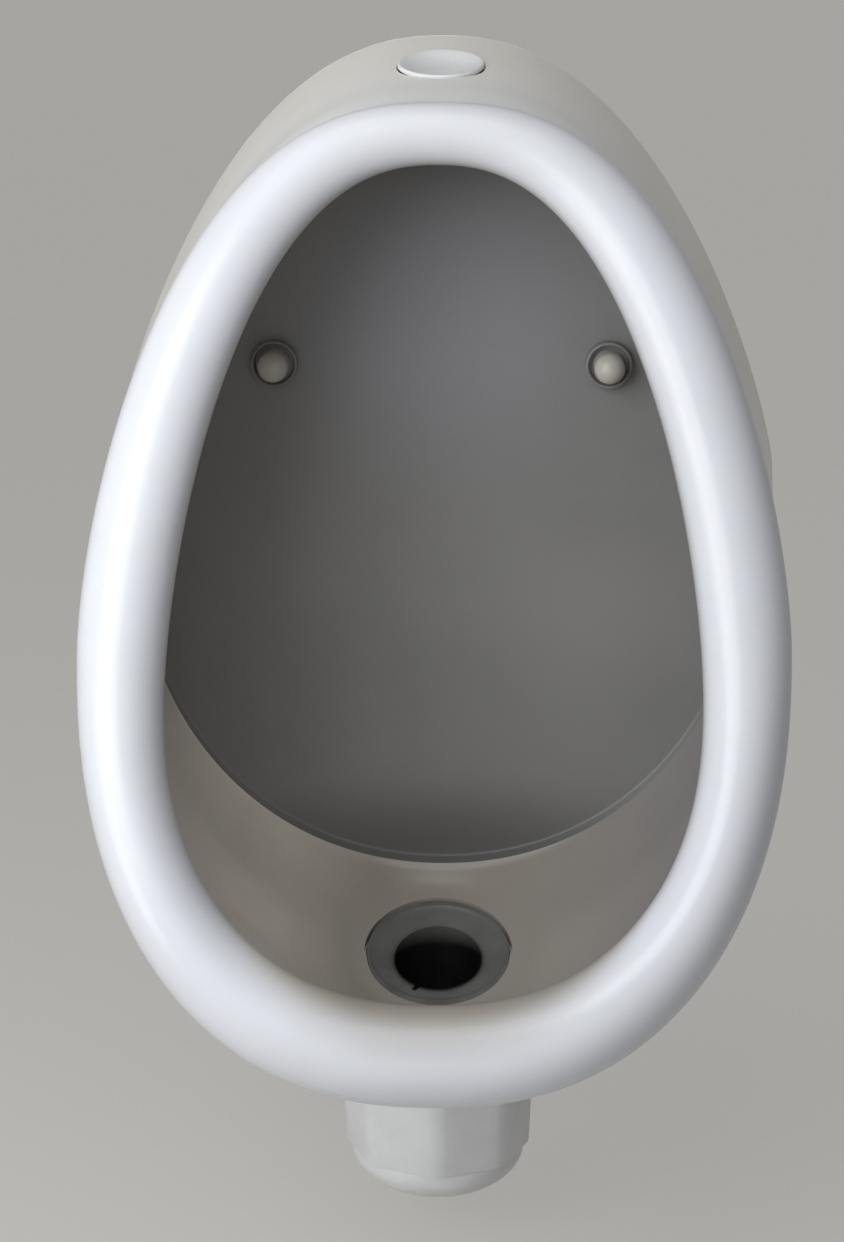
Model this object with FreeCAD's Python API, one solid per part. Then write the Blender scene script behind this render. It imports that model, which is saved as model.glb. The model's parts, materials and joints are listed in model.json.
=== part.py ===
"""Wall hung urinal: a glazed china bowl on two hanger bolts, with its waste and bottle trap.

Millimetres. X is to the right, +Y points into the wall and +Z is up. The origin lies on the wall
face, midway between the two fixing bolts. "out" is a distance forward from the wall, so y = -out.
"""
import FreeCAD
import Part
import math
import os

V = FreeCAD.Vector
UP = V(0, 0, 1)
DOWN = V(0, 0, -1)
FORWARD = V(0, -1, 0)
INTO_WALL = V(0, 1, 0)

# ---------------------------------------------------------------- driving dimensions
# china: back outline on the wall
back_half_width = 187.0
back_top = 177.0
back_bottom = -302.0
back_widest = -60.0
# china: rolled rim, a tube whose centre line lies in a leaning plane
rim_narrowing = 9.7
rim_top_out = 128.0
rim_top_drop = 42.5
rim_foot_out = 280.0
rim_foot_rise = 2.0
rim_widest_drop = 62.5
rim_widest_shift = 12.5
roll_top = 15.7
roll_side = 21.8
roll_foot = 25.0
neck_setback = 10.0
neck_foot_setback = 26.0
neck_inset = 5.3
neck_top_drop = 1.0
neck_foot_drop = 3.0
neck_widest_rise = 5.0
# china: how full an outline is, as powers at its top, at its upper side and below its widest point
wall_fullness = (1.25, 2.25, 2.6)
neck_fullness = (1.5, 2.45, 2.3)
rim_fullness = (1.64, 2.42, 2.3)
rim_fullness_change = (-0.04, 0.08, 0.0)
mouth_fullness = (1.5, 2.35, 2.25)
floor_fullness = (1.35, 2.3, 2.12)
bowl_fullness = (1.3, 2.3, 2.1)
# china: angles round the rim's roll, and the shares of the depth at which further outlines lie
roll_turns = (0, 30, 60, 90, 120, 150, 180, 215, 250)
side_shares = (0.24, 0.48, 0.70, 0.88)
mouth_shares = (0.25, 0.60)
mouth_ceiling_share = 0.75
floor_shares = (0.55, 0.30, 0.10)
# china: bowl inside
side_wall = 14.0
bowl_top_drop = 24.0
bowl_foot_rise = 12.0
bowl_widest_drop = 40.0
back_thickness = 22.0
floor_wall = 13.0
hood_wall = 12.5
relief_depth = 9.5
relief_land = 24.0
fixing_band = 44.0
# outlet in the bowl's floor
drain_out = 85.0
drain_drop = 33.5
floor_slope = 21.0
low_point_gap = 5.0
drain_bore = 49.0
flange_diameter = 80.0
flange_thickness = 5.0
flange_sink = 0.5
dish_depth = 3.5
dish_land = 1.8
notch_width = 3.0
notch_reach = 8.0
notch_turn = 24.0
flange_seal_thickness = 1.5
recess_flare = 8.0
recess_flare_rise = 4.0
boss_wall = 18.0
boss_drop = 33.0
# waste fitting and its nut
waste_thread = 56.0
lower_seal_thickness = 3.0
slip_washer_thickness = 1.0
seal_diameter = 76.0
backnut_height = 9.0
backnut_diameter = 78.0
thread_past_nut = 0.5
funnel_height = 5.0
tail_diameter = 40.0
tail_wall = 2.0
tail_length = 24.0
# bottle trap
trap_overhang = 0.5
trap_sides = 8
trap_corner_round = 14.0
trap_taper = 2.0
trap_body_height = 53.5
trap_wall = 3.5
neck_height = 10.0
neck_bore = 51.0
neck_wall = 3.5
union_nut_gap = 1.0
union_nut_height = 13.0
nut_wall = 4.5
nut_shoulder = 2.5
nut_lugs = 8
nut_scoop_share = 0.30
nut_scoop_offset = 0.72
cone_seal_flange = 1.0
cone_seal_reach = 4.0
spigot_lip = 1.2
dip_clearance = 1.3
dip_wall = 1.8
dip_flange = 2.5
dip_flange_width = 2.2
dip_gap = 8.0
# cleaning base of the trap
base_diameter = 98.0
base_height = 26.5
base_round = 13.0
base_wall = 3.0
base_shoulder = 5.0
base_thread_length = 12.0
base_thread_clear = 1.0
base_seal_height = 1.5
base_seal_width = 3.0
# outlet pipe into the wall
pipe_diameter = 40.0
pipe_wall = 1.9
pipe_drop = 24.5
pipe_in_wall = 40.0
pipe_grip = 10.0
pipe_mark_width = 1.5
pipe_mark_depth = 0.4
spigot_wall = 3.4
spigot_reach = 15.5
outlet_nut_length = 15.0
rosette_diameter = 82.0
rosette_depth = 6.0
rosette_wall = 1.2
rosette_collar = 2.5
rosette_shoulder = (0.6, 0.78)
# wall fixings
fixing_spacing = 185.0
fixing_hole = 14.0
sleeve_wall = 1.5
sleeve_setback = 1.0
cup_diameter = 26.0
cup_height = 7.0
cup_base = 2.0
cup_lip = 1.8
bolt_thread = 8.0
bolt_wall_thread = 10.0
bolt_in_wall = 50.0
bolt_tip = 6.0
bolt_tip_diameter = 3.0
bolt_past_nut = 4.0
washer_diameter = 17.0
washer_thickness = 1.6
nut_across_flats = 13.0
nut_height = 6.5
cap_wall = 0.9
cap_height = 21.0
# flush inlet in the hood and its blanking plug
inlet_out = 50.0
inlet_bore = 39.0
inlet_recess = 3.0
plug_diameter = 46.0
plug_thickness = 2.5
plug_dish = 4.0
plug_dish_line = ((0.45, 0.12), (0.8, 0.5))
plug_land = 1.5
plug_web = 2.2
plug_skirt = 14.0
plug_skirt_wall = 1.6
plug_bead = 0.6
plug_bead_height = 2.0
plug_seal_thickness = 1.5
# clearances
thread_gap = 0.1
slide_gap = 0.05
fit_gap = 0.2
hole_gap = 0.6
# points on one outline of the china
outline_points = 40

# ---------------------------------------------------------------- levels that follow
rim_half_width = back_half_width - rim_narrowing
rim_top_height = back_top - rim_top_drop
rim_foot_height = back_bottom + rim_foot_rise
rim_widest = back_widest - rim_widest_drop
bowl_half_width = back_half_width - side_wall
bowl_ceiling = back_top - bowl_top_drop
bowl_foot = back_bottom + bowl_foot_rise
bowl_widest = back_widest - bowl_widest_drop
drain_height = bowl_foot - drain_drop
seat_height = drain_height - boss_drop
washer_top = seat_height - lower_seal_thickness
backnut_top = washer_top - slip_washer_thickness
backnut_foot = backnut_top - backnut_height
union_nut_top = backnut_foot - union_nut_gap
neck_top = union_nut_top - nut_shoulder - cone_seal_flange
body_top = neck_top - neck_height
body_foot = body_top - trap_body_height
base_foot = body_foot - base_height
base_thread = base_diameter - 2 * base_shoulder
trap_across_foot = base_diameter + 2 * trap_overhang
pipe_height = body_top - pipe_drop
spigot_end_out = drain_out - trap_across_foot / 2 - trap_taper - spigot_reach
cup_face = back_thickness + cup_base
washer_face = cup_face + washer_thickness
nut_face = washer_face + nut_height


# ---------------------------------------------------------------- plain shapes
def at(x, out, z):
    return V(x, -out, z)


def rod(radius, length, base, axis=UP):
    return Part.makeCylinder(radius, length, base, axis)


def pipe(outer, inner, length, base, axis=UP):
    return rod(outer, length, base, axis).cut(rod(inner, length, base, axis))


def turned(profile, base, axis=UP):
    """A closed profile of (radius, height) points turned about an axis through base."""
    points = [V(r, 0, h) for r, h in profile]
    face = Part.Face(Part.makePolygon(points + points[:1]))
    solid = face.revolve(V(0, 0, 0), UP, 360)
    solid.Placement = FreeCAD.Placement(base, FreeCAD.Rotation(UP, axis))
    return solid


def joined(first, *others):
    return first.fuse(list(others)).removeSplitter()


def both_sides(solid):
    return Part.makeCompound([solid, solid.mirror(V(0, 0, 0), V(1, 0, 0))])


def hexagon(across_flats, height, base, axis):
    reach = across_flats / 2 / math.cos(math.pi / 6)
    corners = [V(reach * math.cos(math.pi * i / 3), reach * math.sin(math.pi * i / 3), 0)
               for i in range(7)]
    solid = Part.Face(Part.makePolygon(corners)).extrude(UP * height)
    solid.Placement = FreeCAD.Placement(base, FreeCAD.Rotation(UP, axis))
    return solid


def lugged_nut(radius, bore, height, base, axis=UP, lugs=nut_lugs):
    """A hand nut: a ring with shallow round scoops between its grip lugs."""
    nut = pipe(radius, bore, height, base, axis)
    turn = FreeCAD.Rotation(UP, axis)
    scoop = radius * nut_scoop_share
    for i in range(lugs):
        angle = 2 * math.pi * (i + 0.5) / lugs
        reach = radius + scoop * nut_scoop_offset
        side = turn.multVec(V(reach * math.cos(angle), reach * math.sin(angle), 0))
        nut = nut.cut(rod(scoop, height, base + side, axis))
    return nut


# ---------------------------------------------------------------- outlines of the china
class Outline:
    """One closed egg outline in a plane that runs through its top and its foot point."""

    def __init__(self, top, foot, half_width, widest, fullness):
        self.top, self.foot = top, foot
        self.half_width, self.widest = half_width, widest
        self.upper, self.lower = fullness[:2], fullness[2]

    def half_at(self, z):
        if z > self.widest:
            share = (z - self.widest) / (self.top[1] - self.widest)
            inner_power, outer_power = self.upper
        else:
            share = (self.widest - z) / (self.widest - self.foot[1])
            inner_power, outer_power = self.lower, self.lower
        left = max(0.0, 1 - min(share, 1.0) ** inner_power)
        return self.half_width * left ** (1 / outer_power)

    def out_at(self, z):
        share = (self.top[1] - z) / (self.top[1] - self.foot[1])
        return self.top[0] + share * (self.foot[0] - self.top[0])

    def right_side(self, count, steps=400):
        """Points down the right side from top to foot, evenly spaced along the outline."""
        fine = []
        for i in range(steps + 1):
            reach = math.cos(math.pi * i / steps)
            span = self.top[1] - self.widest if reach > 0 else self.widest - self.foot[1]
            z = self.widest + span * reach
            fine.append(at(self.half_at(z), self.out_at(z), z))
        run = [0.0]
        for a, b in zip(fine, fine[1:]):
            run.append(run[-1] + a.distanceToPoint(b))
        points, place = [], 0
        for i in range(count + 1):
            goal = run[-1] * i / count
            while place < steps - 1 and run[place + 1] < goal:
                place += 1
            share = (goal - run[place]) / (run[place + 1] - run[place])
            points.append(fine[place] + (fine[place + 1] - fine[place]) * share)
        return points

    def curve(self):
        right = self.right_side(outline_points // 2)
        left = [V(-p.x, p.y, p.z) for p in right[-2:0:-1]]
        points = right + left
        marks = [i / len(points) for i in range(len(points) + 1)]
        spline = Part.BSplineCurve()
        spline.interpolate(Points=points, PeriodicFlag=True, Parameters=marks)
        return spline


def skin(outlines):
    """A closed solid skinned through the outlines in turn, with a flat cap on the first and last."""
    rings = [outline.curve() for outline in outlines]
    poles = [ring.getPoles() for ring in rings]
    run = [0.0]
    for a, b in zip(poles, poles[1:]):
        run.append(run[-1] + sum(p.distanceToPoint(q) for p, q in zip(a, b)) / len(a))
    marks = [r / run[-1] for r in run]
    rows = []
    for place in range(len(poles[0])):
        row = Part.BSplineCurve()
        row.interpolate(Points=[ring[place] for ring in poles], Parameters=marks)
        rows.append(row)
    surface = Part.BSplineSurface()
    surface.buildFromPolesMultsKnots(
        [row.getPoles() for row in rows],
        rings[0].getMultiplicities(), rows[0].getMultiplicities(),
        rings[0].getKnots(), rows[0].getKnots(),
        True, False, rings[0].Degree, rows[0].Degree)
    side = surface.toShape()
    rims = [edge for edge in side.Edges if edge.isClosed() and not edge.isSeam(side)]
    shell = Part.makeShell([side] + [Part.Face(Part.Wire(edge)) for edge in rims])
    shell.sewShape()
    return Part.makeSolid(shell)


def blend(a, b, share):
    return a + (b - a) * share


def blend_each(first, second, share):
    return tuple(blend(a, b, share) for a, b in zip(first, second))


def floor_height(out):
    return drain_height - (out - drain_out) * math.tan(math.radians(floor_slope))


def rim_outline(turn):
    """One line round the rim's roll: 0 degrees is its outer edge, 90 its crest, 180 its inner edge."""
    reach, rise = math.cos(math.radians(turn)), math.sin(math.radians(turn))
    lean = math.atan2(rim_foot_out - rim_top_out, rim_top_height - rim_foot_height)
    up_out, up_z = -math.sin(lean), math.cos(lean)
    front_out, front_z = math.cos(lean), math.sin(lean)
    top = (rim_top_out + roll_top * (reach * up_out + rise * front_out),
           rim_top_height + roll_top * (reach * up_z + rise * front_z))
    foot = (rim_foot_out + roll_foot * (-reach * up_out + rise * front_out),
            rim_foot_height + roll_foot * (-reach * up_z + rise * front_z))
    half_width = rim_half_width - roll_side * (1 - reach)
    widest = rim_widest + rim_widest_shift * reach + roll_side * rise * math.sin(lean)
    fullness = [full + reach * change for full, change in zip(rim_fullness, rim_fullness_change)]
    return Outline(top, foot, half_width, widest, fullness)


def neck_outline():
    """The slight waist behind the rim."""
    edge = rim_outline(0)
    top = (edge.top[0] - neck_setback, edge.top[1] - neck_top_drop)
    foot = (edge.foot[0] - neck_foot_setback, edge.foot[1] - neck_foot_drop)
    return Outline(top, foot, edge.half_width - neck_inset, edge.widest + neck_widest_rise,
                   neck_fullness)


def hood_height(out):
    neck = neck_outline()
    return blend(back_top, neck.top[1], out / neck.top[0])


def low_out():
    """Where the bowl is lowest, just in front of the waste flange."""
    return drain_out + flange_diameter / 2 + low_point_gap


def belly_height(out):
    """Underside of the bowl along the middle."""
    neck = neck_outline()
    lowest = floor_height(low_out()) - floor_wall
    if out < low_out():
        return blend(back_bottom, lowest, math.sin(math.pi / 2 * out / low_out()))
    share = (out - low_out()) / (neck.foot[0] - low_out())
    return blend(lowest, neck.foot[1], share ** 2)


def outer_outlines():
    """From the wall forward to the waist behind the rim."""
    wall = Outline((0, back_top), (0, back_bottom), back_half_width, back_widest, wall_fullness)
    neck = neck_outline()
    outlines = [wall]
    for share in side_shares:
        top_out = neck.top[0] * share
        foot_out = neck.foot[0] * share
        outlines.append(Outline(
            (top_out, hood_height(top_out)), (foot_out, belly_height(foot_out)),
            blend(back_half_width, neck.half_width, share), blend(back_widest, neck.widest, share),
            blend_each(wall_fullness, neck_fullness, share)))
    return outlines + [neck]


def bowl_outlines():
    """Inside the bowl, from the rim's hidden edge back to the flat back wall."""
    lip = rim_outline(roll_turns[-1])
    lowest = floor_height(low_out())
    outlines = []
    for share in mouth_shares:
        top_out = blend(lip.top[0], back_thickness, share * mouth_ceiling_share)
        foot_out = blend(lip.foot[0], low_out(), share)
        ceiling = min(hood_height(top_out) - hood_wall, bowl_ceiling)
        foot = blend(lowest, lip.foot[1], (1 - share) ** 3)
        half_width = blend(bowl_half_width, lip.half_width, (1 - share) ** 2)
        outlines.append(Outline((top_out, ceiling), (foot_out, foot), half_width,
                                blend(lip.widest, bowl_widest, share), mouth_fullness))
    reach = flange_diameter / 2
    for share, foot_out in zip(floor_shares, (drain_out + reach, drain_out, drain_out - reach)):
        top_out = blend(back_thickness, lip.top[0], share)
        ceiling = min(hood_height(top_out) - hood_wall, bowl_ceiling)
        outlines.append(Outline((top_out, ceiling), (foot_out, floor_height(foot_out)),
                                bowl_half_width, bowl_widest, floor_fullness))
    outlines.append(Outline((back_thickness, bowl_ceiling), (back_thickness, bowl_foot),
                            bowl_half_width, bowl_widest, bowl_fullness))
    return outlines


def floor_normal():
    slope = math.radians(floor_slope)
    return V(0, -math.sin(slope), math.cos(slope))


def above_floor(depth, reach=120.0):
    """The space above a plane that lies depth under the bowl's sloping floor at the outlet."""
    slab = Part.makeBox(2 * reach, 2 * reach, reach, V(-reach, -reach, 0))
    slab.rotate(V(0, 0, 0), V(1, 0, 0), floor_slope)
    slab.translate(on_waste_axis(drain_height) - floor_normal() * depth)
    return slab


def on_waste_axis(z):
    return at(0, drain_out, z)


def inlet_seat():
    """Centre and outward direction of the flush inlet on the hood."""
    neck = neck_outline()
    slope = math.atan2(back_top - neck.top[1], neck.top[0])
    return at(0, inlet_out, hood_height(inlet_out)), V(0, -math.sin(slope), math.cos(slope))


# ---------------------------------------------------------------- china
def wall_relief():
    """The hollow in the wall side, in two parts with a band at the fixing bolts between them."""
    edge = Outline((0, back_top - relief_land), (0, back_bottom + relief_land),
                   back_half_width - relief_land, back_widest, wall_fullness)
    hollow = Part.Face(Part.Wire(edge.curve().toShape())).extrude(FORWARD * relief_depth)
    band = Part.makeBox(2 * back_half_width, 2 * relief_depth, fixing_band,
                        V(-back_half_width, -1.5 * relief_depth, -fixing_band / 2))
    return hollow.cut(band)


def flange_radius():
    return flange_diameter / 2 + hole_gap


def waste_hole_radius():
    return waste_thread / 2 + hole_gap


def flange_seat_depth():
    return flange_sink + flange_thickness + flange_seal_thickness


def outlet_hollow():
    """The flange's seat, the soft flare above it and the waste hole through the boss."""
    seat = rod(flange_radius(), boss_drop * 2, on_waste_axis(seat_height))
    seat = seat.common(above_floor(flange_seat_depth()))
    hole = rod(waste_hole_radius(), boss_drop * 2, on_waste_axis(seat_height - 1))
    flare = Part.makeCone(flange_radius(), flange_radius() + recess_flare, recess_flare_rise,
                          on_waste_axis(drain_height), floor_normal())
    return [seat, hole, flare]


def outlet_boss():
    boss = rod(waste_hole_radius() + boss_wall, boss_drop, on_waste_axis(seat_height))
    return boss.cut(above_floor(flange_seat_depth()))


def inlet_hollow():
    centre, axis = inlet_seat()
    recess = rod(plug_diameter / 2 + hole_gap, 3 * inlet_recess, centre - axis * inlet_recess, axis)
    bore = rod(inlet_bore / 2, 3 * hood_wall, centre - axis * 2 * hood_wall, axis)
    return [recess, bore]


def ceramic_body():
    roll = [rim_outline(turn) for turn in roll_turns]
    body = skin(outer_outlines() + roll + bowl_outlines())
    body = body.fuse(outlet_boss())
    fixing_holes = both_sides(rod(fixing_hole / 2, 2 * back_thickness,
                                  at(fixing_spacing / 2, -back_thickness / 2, 0), FORWARD))
    for hollow in [wall_relief(), fixing_holes] + outlet_hollow() + inlet_hollow():
        body = body.cut(hollow)
    return body


# ---------------------------------------------------------------- flush inlet plug
def inlet_plug():
    """A dished cap with a push-in skirt, its rim standing on the seal."""
    centre, axis = inlet_seat()
    base = centre - axis * (inlet_recess - plug_seal_thickness - slide_gap)
    rim = plug_diameter / 2
    grip = inlet_bore / 2 - slide_gap
    skirt = grip - plug_bead
    inside = skirt - plug_skirt_wall
    lip = rim - plug_land
    top = plug_thickness
    floor = top - plug_dish
    foot = -plug_skirt
    dish = [(lip * reach, floor + plug_dish * rise) for reach, rise in plug_dish_line]
    profile = [(0, floor)] + dish + [
               (lip, top), (rim - plug_land / 3, top), (rim, top - plug_land / 2), (rim, 0),
               (skirt, 0), (skirt, foot + plug_bead_height + plug_bead),
               (grip, foot + plug_bead_height), (grip, foot + plug_bead), (skirt, foot),
               (inside, foot), (inside, floor - plug_web), (0, floor - plug_web)]
    return turned(profile, base, axis)


def inlet_plug_seal():
    centre, axis = inlet_seat()
    base = centre - axis * (inlet_recess - slide_gap)
    skirt = inlet_bore / 2 - slide_gap - plug_bead
    return pipe(plug_diameter / 2 - fit_gap, skirt, plug_seal_thickness, base, axis)


# ---------------------------------------------------------------- wall fixings
def fixing_at(out):
    return at(fixing_spacing / 2, out, 0)


def hanger_bolts():
    shank = rod(bolt_thread / 2, nut_face + bolt_past_nut, fixing_at(0), FORWARD)
    screw = rod(bolt_wall_thread / 2, bolt_in_wall - bolt_tip, fixing_at(0), INTO_WALL)
    tip = Part.makeCone(bolt_wall_thread / 2, bolt_tip_diameter / 2, bolt_tip,
                        fixing_at(bolt_tip - bolt_in_wall), INTO_WALL)
    return both_sides(joined(shank, screw, tip))


def fixing_sleeves():
    outer = fixing_hole / 2 - fit_gap
    return both_sides(pipe(outer, outer - sleeve_wall, back_thickness - sleeve_setback,
                           fixing_at(sleeve_setback), FORWARD))


def cup_washers():
    """Plastic cups on the china's face, each with a raised lip round its cover cap."""
    outer = cup_diameter / 2
    inner = outer - cup_lip
    bore = bolt_thread / 2 + fit_gap
    crown = cup_lip / 3
    profile = [(bore, 0), (outer, 0), (outer, cup_height - crown), (outer - crown, cup_height),
               (inner + crown, cup_height), (inner, cup_height - crown), (inner, cup_base),
               (bore, cup_base)]
    return both_sides(turned(profile, fixing_at(back_thickness), FORWARD))


def steel_washers():
    return both_sides(pipe(washer_diameter / 2, bolt_thread / 2 + fit_gap, washer_thickness,
                           fixing_at(cup_face), FORWARD))


def hex_nuts():
    nut = hexagon(nut_across_flats, nut_height, fixing_at(washer_face), FORWARD)
    return both_sides(nut.cut(rod(bolt_thread / 2, nut_height, fixing_at(washer_face), FORWARD)))


def cover_cap():
    """A domed cap that stands on the washer and snaps over the nut."""
    inner = nut_across_flats / 2 / math.cos(math.pi / 6) + slide_gap
    outer = inner + cap_wall
    straight = cap_height - outer
    shell = rod(outer, straight, V(0, 0, 0))
    shell = shell.fuse(rounded_end(outer, straight))
    hollow = rod(inner, straight, V(0, 0, 0)).fuse(rounded_end(inner, straight))
    cap = shell.cut(hollow)
    cap.Placement = FreeCAD.Placement(fixing_at(washer_face + slide_gap),
                                      FreeCAD.Rotation(UP, FORWARD))
    return cap


def rounded_end(radius, height):
    ball = Part.makeSphere(radius, V(0, 0, height))
    return ball.cut(rod(2 * radius, 2 * radius, V(0, 0, height - 2 * radius)))


def right_cover_cap():
    return cover_cap()


def left_cover_cap():
    return cover_cap().mirror(V(0, 0, 0), V(1, 0, 0))


# ---------------------------------------------------------------- waste fitting
def waste_outlet():
    """Dished flange in the floor, threaded body through the boss and plain tail below."""
    flange_block = rod(flange_diameter / 2, boss_drop * 2, on_waste_axis(seat_height))
    flange = flange_block.common(above_floor(flange_sink + flange_thickness))
    flange = flange.cut(above_floor(flange_sink))
    thread_foot = backnut_foot - thread_past_nut
    body_height = drain_height - flange_sink - flange_thickness - thread_foot
    body = rod(waste_thread / 2, body_height * 2, on_waste_axis(thread_foot))
    body = body.cut(above_floor(flange_sink + flange_thickness))
    tail_foot = thread_foot - tail_length
    tail = rod(tail_diameter / 2, tail_length, on_waste_axis(tail_foot))
    bore = tail_diameter / 2 - tail_wall
    way = [rod(drain_bore / 2, 3 * boss_drop, on_waste_axis(thread_foot + funnel_height)),
           Part.makeCone(bore, drain_bore / 2, funnel_height, on_waste_axis(thread_foot)),
           rod(bore, tail_length, on_waste_axis(tail_foot)),
           Part.makeCone(drain_bore / 2 - dish_land, flange_diameter / 2 - dish_land, dish_depth,
                         on_waste_axis(drain_height) - floor_normal() * (flange_sink + dish_depth),
                         floor_normal())]
    return joined(flange, body, tail).cut(way + [flange_notch()])


def flange_notch():
    """A small slot in the ring, from the hole's edge forward and to the left."""
    reach = drain_bore / 2 + notch_reach
    slot = Part.makeBox(notch_width, reach, flange_sink + flange_thickness / 2 + dish_depth,
                        V(-notch_width / 2, -reach, -flange_thickness / 2 - dish_depth))
    slot.rotate(V(0, 0, 0), UP, -notch_turn)
    slot.rotate(V(0, 0, 0), V(1, 0, 0), floor_slope)
    slot.translate(on_waste_axis(drain_height))
    return slot


def waste_flange_seal():
    ring = pipe(flange_diameter / 2 - fit_gap, waste_thread / 2 + fit_gap, boss_drop * 2,
                on_waste_axis(seat_height))
    ring = ring.common(above_floor(flange_seat_depth()))
    return ring.cut(above_floor(flange_sink + flange_thickness))


def lower_seal():
    return pipe(seal_diameter / 2, waste_thread / 2 + fit_gap, lower_seal_thickness,
                on_waste_axis(washer_top))


def slip_washer():
    return pipe(seal_diameter / 2, waste_thread / 2 + fit_gap, slip_washer_thickness,
                on_waste_axis(backnut_top))


def waste_backnut():
    return lugged_nut(backnut_diameter / 2, waste_thread / 2, backnut_height,
                      on_waste_axis(backnut_foot), UP)


# ---------------------------------------------------------------- bottle trap
def faceted(across_foot, across_top, height, base):
    """A tapering prism with one of its corners straight ahead and its corners rounded."""
    rings = []
    for across, z in ((across_foot, 0), (across_top, height)):
        reach = across / 2 / math.cos(math.pi / trap_sides)
        turns = [2 * math.pi * i / trap_sides - math.pi / 2 for i in range(trap_sides + 1)]
        corners = [base + V(reach * math.cos(t), reach * math.sin(t), z) for t in turns]
        rings.append(Part.makePolygon(corners))
    prism = Part.makeLoft(rings, True, True)
    upright = [edge for edge in prism.Edges if edge.BoundBox.ZLength > height / 2]
    return prism.makeFillet(trap_corner_round, upright)


def neck_radius():
    return neck_bore / 2 + neck_wall


def spigot_radius():
    return pipe_diameter / 2 + spigot_wall


def thread_chamber():
    return base_thread / 2 + thread_gap


def trap_body():
    """Faceted cup with a threaded neck above, an outlet spigot behind and an open foot."""
    body = faceted(trap_across_foot, trap_across_foot + 2 * trap_taper, trap_body_height,
                   on_waste_axis(body_foot))
    neck = rod(neck_radius(), neck_height, on_waste_axis(body_top))
    spigot = rod(spigot_radius(), drain_out - spigot_end_out, at(0, drain_out, pipe_height), INTO_WALL)
    body = joined(body, neck, spigot)
    chamber = trap_across_foot / 2 - trap_wall
    thread_top = body_foot + base_thread_length + base_thread_clear
    socket_end = spigot_end_out + pipe_grip
    mouth = spigot_radius() - spigot_lip
    hollow = [rod(chamber, body_top - trap_wall - thread_top, on_waste_axis(thread_top)),
              rod(thread_chamber(), thread_top - body_foot, on_waste_axis(body_foot)),
              rod(dip_radius() + fit_gap, trap_wall, on_waste_axis(body_top - trap_wall)),
              rod(neck_bore / 2, neck_height, on_waste_axis(body_top)),
              rod(pipe_diameter / 2 - pipe_wall, drain_out - socket_end,
                  at(0, drain_out, pipe_height), INTO_WALL),
              rod(pipe_diameter / 2, pipe_grip, at(0, socket_end, pipe_height), INTO_WALL),
              Part.makeCone(pipe_diameter / 2, mouth, cone_seal_reach,
                            at(0, spigot_end_out + cone_seal_reach, pipe_height), INTO_WALL)]
    return body.cut(hollow)


def cone_seal(inner, mouth, reach, face, base, axis):
    """A rubber ring with a flange on the socket's end and a cone that wedges in its mouth."""
    profile = [(inner, -cone_seal_flange), (face, -cone_seal_flange), (face, 0), (mouth, 0),
               (inner, reach)]
    return turned(profile, base, axis)


def trap_cone_seal():
    return cone_seal(tail_diameter / 2, neck_bore / 2, cone_seal_reach,
                     neck_radius() - cone_seal_flange, on_waste_axis(neck_top), DOWN)


def shouldered_nut(threaded, passing, length, base, axis):
    """A lugged hand nut with a shoulder at its closed end, base being the outside of that end."""
    nut = lugged_nut(threaded + nut_wall, threaded, length, base, axis)
    return nut.fuse(pipe(threaded, passing, nut_shoulder, base, axis)).removeSplitter()


def trap_union_nut():
    return shouldered_nut(neck_radius(), tail_diameter / 2 + fit_gap, union_nut_height,
                          on_waste_axis(union_nut_top), DOWN)


def dip_radius():
    return tail_diameter / 2 + dip_clearance + dip_wall


def dip_tube():
    """Hangs from the neck's ledge and ends a little above the trap's floor."""
    foot = base_foot + base_wall + dip_gap
    outer = dip_radius()
    inner = outer - dip_wall
    tube = rod(outer, body_top - foot, on_waste_axis(foot))
    flange = rod(outer + dip_flange_width, dip_flange, on_waste_axis(body_top))
    return joined(tube, flange).cut(rod(inner, body_top + dip_flange - foot, on_waste_axis(foot)))


def trap_base():
    """The cleaning cup that screws up into the trap's foot."""
    outer = base_diameter / 2
    cup = rod(outer, base_height - slide_gap, on_waste_axis(base_foot))
    lower_edge = [edge for edge in cup.Edges
                  if edge.isClosed() and abs(edge.BoundBox.ZMax - base_foot) < slide_gap]
    cup = cup.makeFillet(base_round, lower_edge)
    ring = rod(base_thread / 2, base_thread_length, on_waste_axis(body_foot - slide_gap))
    inside = base_thread / 2 - base_wall
    well = rod(inside, base_height + base_thread_length, on_waste_axis(base_foot + base_wall))
    well = well.makeFillet(base_round - base_wall, [edge for edge in well.Edges
                           if edge.isClosed() and edge.BoundBox.ZMax < base_foot + 2 * base_wall])
    groove = pipe(base_thread / 2 + base_seal_width, base_thread / 2, base_seal_height,
                  on_waste_axis(body_foot - slide_gap - base_seal_height))
    return joined(cup, ring).cut([well, groove])


def base_seal_ring():
    return pipe(base_thread / 2 + base_seal_width - slide_gap, base_thread / 2 + slide_gap,
                base_seal_height, on_waste_axis(body_foot - slide_gap - base_seal_height))


# ---------------------------------------------------------------- outlet to the wall
def outlet_pipe():
    """A plain pipe from the spigot into the wall, with a groove that marks the wall's face."""
    outer = pipe_diameter / 2
    start = spigot_end_out + pipe_grip
    tube = pipe(outer, outer - pipe_wall, start + pipe_in_wall, at(0, start, pipe_height), INTO_WALL)
    mark = pipe(outer + pipe_mark_depth, outer - pipe_mark_depth, pipe_mark_width,
                at(0, pipe_mark_width, pipe_height), INTO_WALL)
    return tube.cut(mark)


def outlet_cone_seal():
    return cone_seal(pipe_diameter / 2, spigot_radius() - spigot_lip, cone_seal_reach,
                     spigot_radius(), at(0, spigot_end_out, pipe_height), FORWARD)


def outlet_nut():
    closed_end = spigot_end_out - cone_seal_flange - nut_shoulder
    return shouldered_nut(spigot_radius(), pipe_diameter / 2 + fit_gap, outlet_nut_length,
                          at(0, closed_end, pipe_height), FORWARD)


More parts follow.
